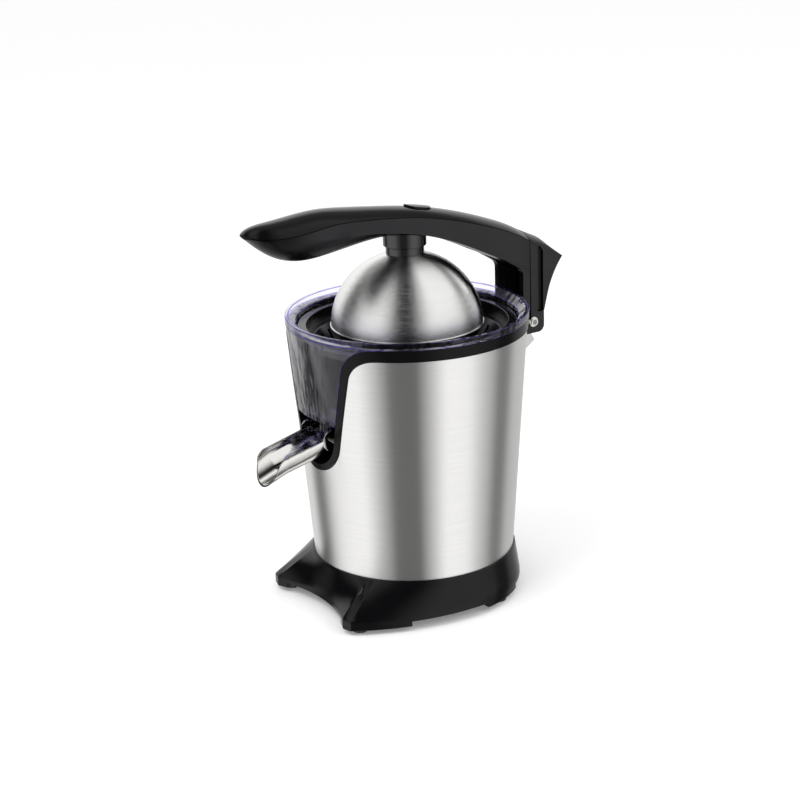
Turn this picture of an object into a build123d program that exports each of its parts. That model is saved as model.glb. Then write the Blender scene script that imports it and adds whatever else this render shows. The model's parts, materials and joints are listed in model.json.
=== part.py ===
"""Lever-arm electric citrus juicer, modelled piece by piece at its real size in millimetres.

It stands on the floor with +Z up. The spindle is the Z axis, the spout points to -Y and the lever
hinges at +Y.
"""

import os
from math import acos, cos, radians, sin, sqrt, tan, tau

from build123d import *

os.makedirs("parts", exist_ok=True)

# Fits and clearances
overrun = 5.0  # how far a cutting tool runs past what it cuts
seat_gap = 0.1  # between two fixed pieces that touch
slide_gap = 0.35  # between pieces that move past each other
shaft_gap = 0.05  # radial clearance of a shaft in its bush

# Base: a flared skirt with two feet in front and two pads behind
base_side_flare = 7.0  # reach of the lip past the foot of the steel, at each side
base_rear_flare = 3.0
base_step = 1.2  # ledge round the foot of the steel
base_cavity_margin = 3.42  # between the cavity and the tie rods
base_lip_z = 10.5
base_lip_bottom_z = 7.0
base_spigot_height = 6.0
base_spigot_wall = 3.0
toe_outer_x = 51.5
toe_outer_flare = 16.0
toe_inner_x = 44.0
toe_front_flare = 18.0
toe_notch_flare = 8.5
toe_pad_z = 2.0
toe_pad_inner_x = 36.0
toe_pad_length = 40.0
heel_pad_inner_x = 50.0
heel_pad_front_y = 9.0
heel_pad_rear_y = 44.0

# Rubber feet under the pads
foot_radius = 6.0
foot_height = 3.5
toe_foot_x = 46.0
toe_foot_set = 13.0  # behind the front of the toes
heel_foot_set = 6.0  # in from the middle of the pad
heel_foot_y = 27.0

# Bottom plate
plate_seat = 8.0  # width of its seat round the cavity
plate_thickness = 2.5
vent_count = 12
vent_length = 14.0
vent_width = 2.6
vent_circle = 34.0

# Cord gland in the back of the base
gland_z = 20.5
gland_radius = 6.5
gland_flange_radius = 8.6
gland_flange = 2.4
gland_bore = 3.4

# Steel housing shell: a tapered tube, wider at the top
shell_bottom_radius = 72.0
shell_top_radius = 83.5
shell_bottom_z = 31.0
shell_top_z = 192.0
shell_wall = 1.0

# U-shaped mouth in the front of the shell
mouth_radius = 26.0  # round foot of the U
mouth_foot_z = 104.7
mouth_lean = 13.4  # how far each side leans out from the vertical, in degrees
mouth_flare = 19.0  # rounding from the sides into the top edge

# Inner housing: top ring, frame round the mouth, bucket for the bowl and well for the spout, in one moulding
frame_band = 4.6  # width of the frame round the mouth
frame_proud = 0.8
frame_depth = 3.4
ring_top_z = 200.0
ring_inset = 3.3  # from the top of the steel in to the ring's bore
bucket_wall = 2.0
bucket_floor_z = 125.0
bucket_floor_thickness = 3.0
tower_radius = 9.6
tower_top_z = 165.0
well_depth = 11.0  # behind the spout
well_top_z = 137.0

# Juice bowl of clear plastic
bowl_rim_proud = 0.7  # past the ring that it rests on
bowl_rim_z = 205.0
bowl_rim_width = 2.4
bowl_wall = 2.0
bowl_ring_gap = 0.8  # below the lip, to the ring's bore
bowl_bucket_gap = 1.54  # at the foot, to the bucket
bowl_bottom_z = 141.5
bowl_floor_rise = 7.0  # juice runs from the middle out to the edge
bowl_tube_radius = 12.4
bowl_tube_wall = 2.0
bowl_tube_top_z = 170.0
bulge_inset = 0.3  # the front bulge lies this far behind the frame's face
bulge_gap = 0.5
ledge_width = 2.8
ledge_height = 5.0
nozzle_radius = 6.5
nozzle_bore = 4.4
nozzle_set = 7.0  # behind the spout's pivot
nozzle_bottom_z = 131.0

# Strainer basket
strainer_gap = 0.8  # round the rim, to the bowl
strainer_rim_z = 197.0
strainer_rim_width = 4.0
strainer_shelf = 9.2  # from the rim in to the top of the slope
strainer_step_z = 188.0
strainer_slope = 9.0  # run of the slope
strainer_floor_z = 170.0
strainer_wall = 1.8
strainer_hole_radius = 13.2
strainer_collar_height = 4.0
strainer_slots = 36
strainer_slot_width = 2.4
strainer_floor_slot = 14.0
strainer_bridge = 2.2  # solid strip left above and below each slot

# Reamer cone
cone_flange_radius = 40.0
cone_flange_thickness = 2.0
cone_base_z = 177.0
cone_radius = 33.0
cone_height = 52.0
cone_tip_radius = 3.6
cone_belly_share = 0.72  # radius at half height, of the base radius
cone_ribs = 10
cone_rib_width = 3.2
cone_rib_depth = 4.0
cone_wall = 2.4
cone_hub_radius = 8.6
cone_hub_drop = 4.5
cone_socket_depth = 26.0

# Spindle, its bushes and seal
spindle_radius = 4.0
spindle_bottom_z = 100.0
spindle_drive_z = 171.0  # the hexagon for the cone starts here
bush_wall = 2.8
tower_bush_height = 12.0
cover_bush_height = 5.4
seal_height = 3.0
plunge_travel = 2.5

# Motor, on an upright axis behind the spindle
armature_shaft_radius = 3.0
armature_bottom_z = 19.0
armature_top_z = 103.0
armature_radius = 17.0
armature_slots = 12
armature_slot_width = 2.4
armature_slot_depth = 5.0
winding_radius = 14.5
winding_height = 5.5
commutator_radius = 10.0
commutator_bottom_z = 29.0
commutator_height = 10.0
core_bottom_z = 46.0
core_height = 28.0
core_half_width = 28.0
core_corner = 14.0
core_air_gap = 0.6
coil_x = 22.0
coil_width = 6.0
coil_half_span = 17.0
coil_bundle = 6.0
fan_bottom_z = 80.5
fan_height = 7.0
fan_radius = 25.0
fan_blades = 9
fan_blade_thickness = 1.4
motor_bolt_radius = 2.0
motor_bolt_place = 20.5
motor_post_radius = 3.4
motor_bush_radius = 6.0
bridge_bottom_z = 21.5
bridge_thickness = 3.0
brush_length = 13.0
brush_width = 5.0
brush_wall = 1.4

# Gear train: pinion to compound gear, compound gear to output gear
gear_plate_z = 90.0
gear_plate_thickness = 3.0
gear_plate_past = 8.0  # reach past the cavity of the base
cover_z = 119.5
cover_thickness = 3.0
cover_past = 7.0
first_module = 1.0
first_pinion_teeth = 12
first_wheel_teeth = 42
first_face = 6.0
second_module = 1.5
second_pinion_teeth = 12
second_wheel_teeth = 48
second_face = 8.0
first_gear_z = 95.5
second_gear_z = 107.0
gear_backlash = 0.28
gear_root_share = 1.2  # depth of a tooth below the pitch circle, of the module
gear_tip_share = 0.95  # its height above the pitch circle, of the module
gear_rim_share = 3.0  # rim of the large wheel below the pitch circle, of the module
pressure_angle = 20.0  # degrees
wheel_hub_radius = 9.0
wheel_web_share = 0.55  # web thickness, of the face width
axle_radius = 3.0

# Thrust cup under the spindle, its spring and the switch that it presses
cup_radius = 7.0
cup_height = 4.0
cup_floor = 2.0
cup_flange_radius = 9.0
cup_flange = 2.0
cup_tab_x = 17.0
cup_tab_width = 5.0
guide_wall = 2.2
guide_height = 6.0
plunge_spring_radius = 6.0
plunge_spring_wire = 0.9
switch_x = 20.0
switch_length = 16.0
switch_width = 8.0
switch_height = 5.5
switch_button_radius = 1.4
switch_button_x = 15.0

# Tie rods that clamp the bottom plate, base, shell, gearbox and inner housing together
rod_radius = 2.5
rod_gear_gap = 5.455  # from the posts to the output gear
rod_head_radius = 5.0
rod_head = 2.5
rod_nut_radius = 4.6
rod_nut = 3.5
rod_post_radius = 5.2

# Spout: a swivelling steel trough
spout_tail = 11.0  # length behind the pivot
spout_reach = 48.2  # length in front of the pivot
spout_inner_floor_z = 118.0
spout_neck_floor_z = 107.9
spout_tip_floor_z = 102.4
spout_inner_half_width = 16.0
spout_neck_half_width = 15.2
spout_tip_half_width = 14.8
spout_inner_depth = 16.2
spout_neck_depth = 16.1
spout_wall = 1.2
spout_nose_radius = 10.0  # rounding of the sides at the tip
spout_nose_lean = 5.0  # the floor's tip lies this far in front of the sides
spout_pivot_inset = 5.0  # behind the face of the steel
spout_pivot_z = 129.0
spout_ear_radius = 7.5
spout_ear_wall = 1.6
spout_pin_radius = 1.6
spout_pin_seat = 2.4

# Hinge bracket on the back of the shell
hinge_offset = 15.0  # behind the top of the steel
hinge_z = 181.0
pin_radius = 2.5
pin_overhang = 0.6
hinge_bush_wall = 1.2
bracket_barrel = 8.5
bracket_toe_drop = 30.0
bracket_heel_out = 4.0
bracket_heel_drop = 15.0
bracket_screw_radius = 2.0
bracket_screw_x = 6.5
bracket_screw_depth = 10.0
bracket_upper_screw_rise = 2.0
bracket_lower_screw_drop = 20.0

# Lever arm and grip, lofted from the fork's face to the tip
arm_rear_set = 3.5  # in front of the hinge
arm_reach = 219.0
arm_lift = 27.5  # highest point of the side seam above the dome's hub
grip_half_width = 21.0
grip_crown = 9.6
grip_belly = 18.0
arm_depth = 24.0
arm_seam = 0.3  # shadow gap between the top shell and the lower shell
lever_wall = 2.4
along_shares = (1.0, 0.988, 0.959, 0.909, 0.84, 0.735, 0.644, 0.557, 0.411, 0.224, 0.105, 0.0)
width_shares = (0.22, 0.5, 0.74, 0.92, 1.0, 0.965, 0.89, 0.83, 0.81, 0.81, 0.81, 0.81)
seam_shares = (0.973, 0.971, 0.967, 0.965, 0.976, 1.0, 0.992, 0.975, 0.933, 0.83, 0.738, 0.624)
crown_shares = (0.15, 0.4, 0.64, 0.77, 0.79, 0.7, 0.63, 0.57, 0.54, 0.57, 0.57, 0.6)
panel_shares = (0.02, 0.025, 0.035, 0.05, 0.14, 0.383, 0.4, 0.41, 0.5, 0.73, 0.875, 1.0)
belly_shares = (0.05, 0.15, 0.42, 0.8, 1.0, 0.76, 0.54, 0.31, 0.06, 0.035, 0.035, 0.035)
lever_screw_radius = 1.6
lever_screw_head = 3.0
lever_boss_radius = 3.8
lever_screw_length = 9.0
lever_screw_ys = (-78.0, -32.0, 52.0)

# Lever fork and its back cover
fork_leg = 4.4  # thickness of each leg
fork_rear_out = 6.5  # behind the hinge
fork_bridge_rise = 47.0  # above the hinge
shoe_front_set = 7.1  # foot of each leg, in front of the hinge
shoe_rear_out = 9.2
shoe_drop = 8.2
shoe_corner = 5.0
leg_strip = 6.0  # front edge of each leg, which belongs to the lower shell
leg_strip_bend = 7.0
leg_strip_rise = 9.4  # its lower end, above the hinge
tail_tip_out = 27.0  # places of the back cover, behind and above the hinge
tail_tip_rise = 46.0
tail_waist_out = 12.3
tail_waist_rise = 18.0
tail_sag_out = 16.3
tail_sag_rise = 29.5
tail_brow_out = 11.5
tail_brow_rise = 59.6
tail_foot_out = 9.3
tail_foot_rise = 6.8
tail_brow_crown = 4.6
tail_tip_crown = 1.2
tail_tip_blunt = 0.4
tail_roof = 1.6  # thickness of the roof along its sides
groove_front_out = 3.2  # deep groove between the leg and the back cover
groove_peak_out = 5.8
groove_rear_out = 8.3
groove_low_rise = 7.2
groove_front_rise = 54.3
groove_peak_rise = 55.0
groove_rear_rise = 51.5
groove_depth = 2.6

# Press dome and what hangs it on the lever
dome_radius = 53.0
dome_height = 51.0
dome_base_z = 195.5
dome_wall = 1.0
dome_lip = 0.7
dome_hole_radius = 6.0
hub_radius = 13.3
hub_rise = 4.2  # above the dome's crown
hub_stud_radius = 7.4
hub_stud_rise = 9.0
collar_radius = 15.0
collar_spigot_radius = 11.0
collar_bore_rise = 11.1  # above the hub
collar_rise = 14.3
collar_gap = 0.2
dome_nut_radius = 10.0
dome_nut_height = 4.5

# Release button in the top of the lever
button_y = 11.0
button_length = 19.5
button_width = 13.0
button_proud = 1.2
button_travel = 2.5
button_stem_radius = 3.0
button_stem_y = 4.0
button_spring_radius = 4.6
button_spring_wire = 0.8

# A quarter of a turn, in degrees
quarter_turn = 90.0


def shell_radius(z):
    """Outer radius of the steel shell at a height."""
    climb = (z - shell_bottom_z) / (shell_top_z - shell_bottom_z)
    return shell_bottom_radius + climb * (shell_top_radius - shell_bottom_radius)


# Places that follow from the foot of the steel
base_side_half_width = shell_bottom_radius + base_side_flare
base_rear_y = shell_bottom_radius + base_rear_flare
base_top_radius = shell_bottom_radius + base_step
toe_outer_y = -shell_bottom_radius - toe_outer_flare
toe_front_y = -shell_bottom_radius - toe_front_flare
toe_notch_y = -shell_bottom_radius - toe_notch_flare
toe_pad_rear_y = toe_front_y + toe_pad_length
toe_foot_y = toe_front_y + toe_foot_set

# Places that follow from the output gear, which the tie rods stand round
output_tip_radius = second_module * (second_wheel_teeth / 2 + gear_tip_share)
rod_circle = output_tip_radius + rod_gear_gap + rod_post_radius
rod_place = rod_circle * sqrt(1 / 2)
base_cavity_radius = rod_circle + rod_radius + base_cavity_margin
plate_radius = base_cavity_radius + plate_seat
gear_plate_radius = base_cavity_radius + gear_plate_past
cover_radius = base_cavity_radius + cover_past
heel_foot_x = (plate_radius + base_side_half_width) / 2 - heel_foot_set

# Places that follow from the top of the steel
bucket_gap = shell_wall + slide_gap
ring_inner_radius = shell_top_radius - ring_inset
bowl_rim_radius = shell_top_radius + frame_proud + bowl_rim_proud
bowl_top_radius = ring_inner_radius - bowl_ring_gap
bowl_bottom_radius = shell_radius(bowl_bottom_z) - bucket_gap - bucket_wall - bowl_bucket_gap
bowl_seat_z = ring_top_z + seat_gap
bowl_taper = (bowl_top_radius - bowl_bottom_radius) / (bowl_seat_z - bowl_bottom_z)
ledge_z = strainer_rim_z - strainer_wall - seat_gap
ledge_radius = bowl_bottom_radius + bowl_taper * (ledge_z - bowl_bottom_z)
strainer_rim_radius = ledge_radius - bowl_wall - strainer_gap
strainer_step_radius = strainer_rim_radius - strainer_shelf
strainer_foot_radius = strainer_step_radius - strainer_slope

# Places that follow from the dome
hub_top_z = dome_base_z + dome_height + hub_rise
collar_bore_top_z = hub_top_z + collar_bore_rise
collar_top_z = hub_top_z + collar_rise
arm_rise = hub_top_z + arm_lift - hinge_z

# Places that follow from the spout's pivot
spout_pivot_y = spout_pivot_inset - shell_radius(spout_pivot_z)
spout_inner_y = spout_pivot_y + spout_tail
spout_tip_y = spout_pivot_y - spout_reach
spout_neck_y = spout_tip_y + spout_nose_lean + spout_nose_radius
nozzle_y = spout_pivot_y + nozzle_set
well_back_y = spout_inner_y + well_depth

# Places that follow from the hinge
hinge_y = shell_top_radius + hinge_offset
bracket_toe_z = hinge_z - bracket_toe_drop
bracket_heel_y = hinge_y + bracket_heel_out
bracket_heel_z = hinge_z - bracket_heel_drop
bracket_upper_screw_z = hinge_z + bracket_upper_screw_rise
bracket_lower_screw_z = hinge_z - bracket_lower_screw_drop
arm_rear_y = hinge_y - arm_rear_set
fork_rear_y = hinge_y + fork_rear_out
fork_bridge_z = hinge_z + fork_bridge_rise
tail_tip_y, tail_tip_z = hinge_y + tail_tip_out, hinge_z + tail_tip_rise
tail_waist_y, tail_waist_z = hinge_y + tail_waist_out, hinge_z + tail_waist_rise
tail_sag_y, tail_sag_z = hinge_y + tail_sag_out, hinge_z + tail_sag_rise
tail_brow_y, tail_brow_z = hinge_y + tail_brow_out, hinge_z + tail_brow_rise
tail_foot_y, tail_foot_z = hinge_y + tail_foot_out, hinge_z + tail_foot_rise

# Other places that follow from the sizes above
gear_plate_top_z = gear_plate_z + gear_plate_thickness
cover_top_z = cover_z + cover_thickness
plate_z = base_lip_bottom_z
plate_top_z = plate_z + plate_thickness
first_distance = first_module * (first_pinion_teeth + first_wheel_teeth) / 2
second_distance = second_module * (second_pinion_teeth + second_wheel_teeth) / 2
axle_y = second_distance
motor_y = axle_y - first_distance
fork_half_width = width_shares[-1] * grip_half_width
fork_inner = fork_half_width - fork_leg
inner_mouth_radius = mouth_radius - frame_band
inner_mouth_foot_z = mouth_foot_z + frame_band
inner_mouth_flare = mouth_flare + frame_band
rod_places = [(x * rod_place, y * rod_place) for x in (-1, 1) for y in (-1, 1)]
bolt_places = [(x * motor_bolt_place, motor_y + y * motor_bolt_place) for x in (-1, 1) for y in (-1, 1)]
foot_places = [(side * toe_foot_x, toe_foot_y) for side in (-1, 1)]
foot_places += [(side * heel_foot_x, heel_foot_y) for side in (-1, 1)]


def mouth_face(plane, inset, radius, foot_z, top_z, flare):
    """Outline of the mouth: a round foot, two leaning sides and corners that flare into the top edge."""
    lean = radians(mouth_lean)
    inner = radius - inset
    bend = flare + inset
    low_z = foot_z + inset
    centre_z = low_z + inner
    flare_z = top_z - bend
    flare_x = (bend + inner + (flare_z - centre_z) * sin(lean)) / cos(lean)
    low_x, side_z = inner * cos(lean), centre_z - inner * sin(lean)
    high_x, high_z = flare_x - bend * cos(lean), flare_z + bend * sin(lean)
    half_turn = (tau / 4 + lean) / 2
    mid_x, mid_z = flare_x - bend * sin(half_turn), flare_z + bend * cos(half_turn)
    with BuildSketch(plane) as face:
        with BuildLine():
            ThreePointArc((-low_x, side_z), (0, low_z), (low_x, side_z))
            Line((low_x, side_z), (high_x, high_z))
            ThreePointArc((high_x, high_z), (mid_x, mid_z), (flare_x, top_z))
            Polyline(
                (flare_x, top_z),
                (flare_x, top_z + overrun),
                (-flare_x, top_z + overrun),
                (-flare_x, top_z),
            )
            ThreePointArc((-flare_x, top_z), (-mid_x, mid_z), (-high_x, high_z))
            Line((-high_x, high_z), (-low_x, side_z))
        make_face()
    return face.sketch


def outer_mouth(plane, inset):
    """Mouth outline in the steel, drawn in by an inset."""
    return mouth_face(plane, inset, mouth_radius, mouth_foot_z, shell_top_z, mouth_flare)


def inner_mouth(plane, inset):
    """Inner edge of the frame round the mouth, drawn in by an inset."""
    return mouth_face(plane, inset, inner_mouth_radius, inner_mouth_foot_z, ring_top_z, inner_mouth_flare)


def taper_ring(low_z, high_z, outward, inward):
    """Ring that follows the shell's taper, from inward behind its outer face to outward in front of it."""
    with BuildPart() as ring:
        with BuildSketch(Plane.XZ):
            with BuildLine():
                Polyline(
                    (shell_radius(low_z) - inward, low_z),
                    (shell_radius(low_z) + outward, low_z),
                    (shell_radius(high_z) + outward, high_z),
                    (shell_radius(high_z) - inward, high_z),
                    close=True,
                )
            make_face()
        revolve(axis=Axis.Z)
    return ring.part


def taper_core(low_z, high_z, outward):
    """Solid plug that follows the shell's taper, to outward in front of its outer face."""
    with BuildPart() as core:
        with BuildSketch(Plane.XZ):
            with BuildLine():
                Polyline(
                    (0, low_z),
                    (shell_radius(low_z) + outward, low_z),
                    (shell_radius(high_z) + outward, high_z),
                    (0, high_z),
                    close=True,
                )
            make_face()
        revolve(axis=Axis.Z)
    return core.part


def base_plan(plane):
    """Plan of the base: toes in front with a notch between them, swelling sides and a round back."""
    with BuildSketch(plane) as plan:
        with BuildLine():
            ThreePointArc((-toe_inner_x, toe_front_y), (0, toe_notch_y), (toe_inner_x, toe_front_y))
            Line((toe_inner_x, toe_front_y), (toe_outer_x, toe_outer_y))
            TangentArc((base_side_half_width, 0), (toe_outer_x, toe_outer_y), tangent=(0, -1))
            back = (base_side_half_width, base_rear_y)
            EllipticalCenterArc((0, 0), *back, start_angle=0, arc_size=quarter_turn)
            EllipticalCenterArc((0, 0), *back, start_angle=quarter_turn, arc_size=quarter_turn)
            TangentArc((-base_side_half_width, 0), (-toe_outer_x, toe_outer_y), tangent=(0, -1))
            Line((-toe_outer_x, toe_outer_y), (-toe_inner_x, toe_front_y))
        make_face()
    return plan.sketch


def base_crown(plane):
    """Round top of the base, cut into arcs that face the corners of its plan."""
    corners = [(toe_inner_x, toe_front_y), (toe_outer_x, toe_outer_y), (base_side_half_width, 0)]
    spokes = [Vector(x, y).normalized() * base_top_radius for x, y in corners]
    ring = [(s.X, s.Y) for s in spokes] + [(0, base_top_radius)] + [(-s.X, s.Y) for s in reversed(spokes)]
    with BuildSketch(plane) as crown:
        with BuildLine():
            for start, end in zip(ring, ring[1:] + ring[:1]):
                middle = (Vector(*start) + Vector(*end)).normalized() * base_top_radius
                ThreePointArc(start, (middle.X, middle.Y), end)
        make_face()
    return crown.sketch


def gear_points(teeth, module, turn):
    """Corner points of a spur gear's outline, three on each involute flank, turned by a share of a pitch."""
    pitch_radius = module * teeth / 2
    lean = radians(pressure_angle)
    base_radius = pitch_radius * cos(lean)
    root_radius = pitch_radius - gear_root_share * module
    tip_radius = pitch_radius + gear_tip_share * module
    half_tooth = tau / (4 * teeth) - gear_backlash / (2 * pitch_radius)
    flank = []
    for radius in (root_radius, pitch_radius, tip_radius):
        roll = acos(min(1, base_radius / radius))
        flank.append((radius, half_tooth + (tan(lean) - lean) - (tan(roll) - roll)))
    outline = []
    for tooth in range(teeth):
        middle = (tooth + turn) * tau / teeth
        side = [(r, middle - a) for r, a in flank] + [(r, middle + a) for r, a in reversed(flank)]
        outline += [(r * cos(a), r * sin(a)) for r, a in side]
    return outline


# Base: a flared moulding with a ledge for the shell and a recess for the bottom plate
with BuildPart() as base:
    lip_plan = base_plan(Plane.XY.offset(base_lip_z))
    crown_plan = base_crown(Plane.XY.offset(shell_bottom_z - seat_gap))
    loft([lip_plan, crown_plan], ruled=True)
    extrude(base_plan(Plane.XY.offset(base_lip_bottom_z)), amount=base_lip_z - base_lip_bottom_z)
    with BuildSketch(Plane.XY.offset(shell_bottom_z - seat_gap)):
        Circle(shell_bottom_radius - shell_wall - slide_gap)
    extrude(amount=base_spigot_height)
    with BuildSketch(Plane.XY.offset(base_lip_bottom_z)):
        Circle(base_cavity_radius)
    extrude(amount=shell_bottom_z - base_lip_bottom_z, mode=Mode.SUBTRACT)
    with BuildSketch(Plane.XY.offset(shell_bottom_z - seat_gap)):
        Circle(shell_bottom_radius - shell_wall - slide_gap - base_spigot_wall)
    extrude(amount=base_spigot_height, mode=Mode.SUBTRACT)
    with BuildSketch(Plane.XY.offset(base_lip_bottom_z)):
        Circle(plate_radius + seat_gap)
    extrude(amount=plate_thickness, mode=Mode.SUBTRACT)
    pads = extrude(base_plan(Plane.XY.offset(toe_pad_z)), amount=base_lip_z - toe_pad_z, mode=Mode.PRIVATE)
    with BuildSketch(Plane.XY.offset(toe_pad_z)) as pad_plan:
        for side in (-1, 1):
            with BuildLine():
                Polyline(
                    (side * toe_pad_inner_x, toe_pad_rear_y),
                    (side * toe_pad_inner_x, toe_front_y - overrun),
                    (side * base_side_half_width, toe_front_y - overrun),
                    (side * base_side_half_width, toe_pad_rear_y),
                    close=True,
                )
            make_face()
            with BuildLine():
                Polyline(
                    (side * heel_pad_inner_x, heel_pad_front_y),
                    (side * heel_pad_inner_x, heel_pad_rear_y),
                    (side * base_side_half_width, heel_pad_rear_y),
                    (side * base_side_half_width, heel_pad_front_y),
                    close=True,
                )
            make_face()
        Circle(plate_radius + slide_gap, mode=Mode.SUBTRACT)
    pad_blocks = extrude(pad_plan.sketch, amount=base_lip_z - toe_pad_z, mode=Mode.PRIVATE)
    add(pads & pad_blocks)
    with BuildSketch(Plane.XY.offset(toe_pad_z)):
        with Locations(*foot_places):
            Circle(foot_radius + seat_gap)
    extrude(amount=foot_height - toe_pad_z, mode=Mode.SUBTRACT)
    with BuildSketch(Plane.XZ):
        with Locations((0, gland_z)):
            Circle(gland_radius + seat_gap)
    extrude(amount=-base_rear_y - overrun, mode=Mode.SUBTRACT)
base.part.label = "base"
export_step(base.part, "parts/base.step")

# Rubber feet, let into the pads
with BuildPart() as rubber_feet:
    with BuildSketch():
        with Locations(*foot_places):
            Circle(foot_radius)
    extrude(amount=foot_height)
rubber_feet.part.label = "rubber_feet"
export_step(rubber_feet.part, "parts/rubber_feet.step")

# Bottom plate with a ring of vents, held by the tie rods
with BuildPart() as bottom_plate:
    with BuildSketch(Plane.XY.offset(plate_z)):
        Circle(plate_radius)
        with PolarLocations(vent_circle, vent_count):
            SlotOverall(vent_length, vent_width, mode=Mode.SUBTRACT)
        with Locations(*rod_places):
            Circle(rod_radius + slide_gap, mode=Mode.SUBTRACT)
    extrude(amount=plate_thickness)
bottom_plate.part.label = "bottom_plate"
export_step(bottom_plate.part, "parts/bottom_plate.step")

# Cord gland, pushed through the back wall of the base
with BuildPart() as cord_gland:
    with BuildSketch(Plane.XZ.offset(-base_cavity_radius)):
        with Locations((0, gland_z)):
            Circle(gland_radius)
    extrude(amount=base_cavity_radius - base_rear_y - gland_flange)
    with BuildSketch(Plane.XZ.offset(-base_rear_y - seat_gap)):
        with Locations((0, gland_z)):
            Circle(gland_flange_radius)
    extrude(amount=-gland_flange)
    with BuildSketch(Plane.XZ.offset(-base_cavity_radius)):
        with Locations((0, gland_z)):
            Circle(gland_bore)
    extrude(amount=base_cavity_radius - base_rear_y - gland_flange - overrun, mode=Mode.SUBTRACT)
cord_gland.part.label = "cord_gland"
export_step(cord_gland.part, "parts/cord_gland.step")

# Housing shell: rolled steel, cut open at the front for the bowl and the spout
with BuildPart() as housing_shell:
    add(taper_ring(shell_bottom_z, shell_top_z, 0, shell_wall))
    extrude(outer_mouth(Plane.XZ, 0), amount=shell_top_radius + overrun, mode=Mode.SUBTRACT)
    for z in (bracket_lower_screw_z, bracket_upper_screw_z):
        with BuildSketch(Plane.XZ):
            with Locations((-bracket_screw_x, z), (bracket_screw_x, z)):
                Circle(bracket_screw_radius + seat_gap)
        extrude(amount=-shell_top_radius - overrun, mode=Mode.SUBTRACT)
housing_shell.part.label = "housing_shell"
export_step(housing_shell.part, "parts/housing_shell.step")

# Inner housing: ring, bucket wall and floor first, then the frame, the well and the tower
bucket_top_z = shell_top_z + seat_gap
well_room = taper_core(mouth_foot_z, well_top_z, -bucket_gap)
with BuildPart() as inner_housing:
    add(taper_ring(bucket_floor_z, bucket_top_z, -bucket_gap, bucket_gap + bucket_wall))
    with BuildSketch(Plane.XZ):
        with BuildLine():
            Polyline(
                (ring_inner_radius, bucket_top_z),
                (shell_top_radius + frame_proud, bucket_top_z),
                (shell_top_radius + frame_proud, ring_top_z),
                (ring_inner_radius, ring_top_z),
                close=True,
            )
        make_face()
    revolve(axis=Axis.Z)
    with BuildSketch(Plane.XY.offset(bucket_floor_z)):
        Circle(shell_radius(bucket_floor_z) - bucket_gap - bucket_wall / 2)
    extrude(amount=bucket_floor_thickness)
    with BuildSketch(Plane.XY.offset(bucket_floor_z)):
        Circle(tower_radius)
    extrude(amount=tower_top_z - bucket_floor_z)
    with BuildSketch(Plane.XY.offset(cover_top_z)):
        with Locations(*rod_places):
            Circle(rod_post_radius)
    extrude(amount=bucket_floor_z - cover_top_z)
    frame_wall = taper_ring(mouth_foot_z, bucket_top_z, frame_proud, frame_depth)
    frame_reach = shell_top_radius + overrun
    frame_plug = extrude(outer_mouth(Plane.XZ, seat_gap), amount=frame_reach, mode=Mode.PRIVATE)
    add(frame_wall & frame_plug)
    well_plane = Plane.XZ.offset(-well_back_y - bucket_wall)
    well_block = extrude(inner_mouth(well_plane, -bucket_wall), amount=shell_top_radius, mode=Mode.PRIVATE)
    add(well_block & well_room)
    extrude(inner_mouth(Plane.XZ.offset(-well_back_y), 0), amount=shell_top_radius, mode=Mode.SUBTRACT)
    with BuildSketch(Plane.XY.offset(bucket_floor_z)):
        Circle(spindle_radius + bush_wall)
    extrude(amount=tower_top_z - bucket_floor_z, mode=Mode.SUBTRACT)
    with BuildSketch(Plane.XY.offset(cover_top_z)):
        with Locations(*rod_places):
            Circle(rod_radius + seat_gap)
    extrude(amount=bucket_floor_z - cover_top_z + bucket_floor_thickness / 2, mode=Mode.SUBTRACT)
    with BuildSketch(Plane.YZ):
        with Locations((spout_pivot_y, spout_pivot_z)):
            Circle(spout_pin_radius + shaft_gap)
    extrude(amount=inner_mouth_radius + spout_pin_seat, both=True, mode=Mode.SUBTRACT)
    for z in (bracket_lower_screw_z, bracket_upper_screw_z):
        with BuildSketch(Plane.XZ):
            with Locations((-bracket_screw_x, z), (bracket_screw_x, z)):
                Circle(bracket_screw_radius + seat_gap)
        extrude(amount=-shell_top_radius - overrun, mode=Mode.SUBTRACT)
inner_housing.part.label = "inner_housing"
export_step(inner_housing.part, "parts/inner_housing.step")

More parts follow.
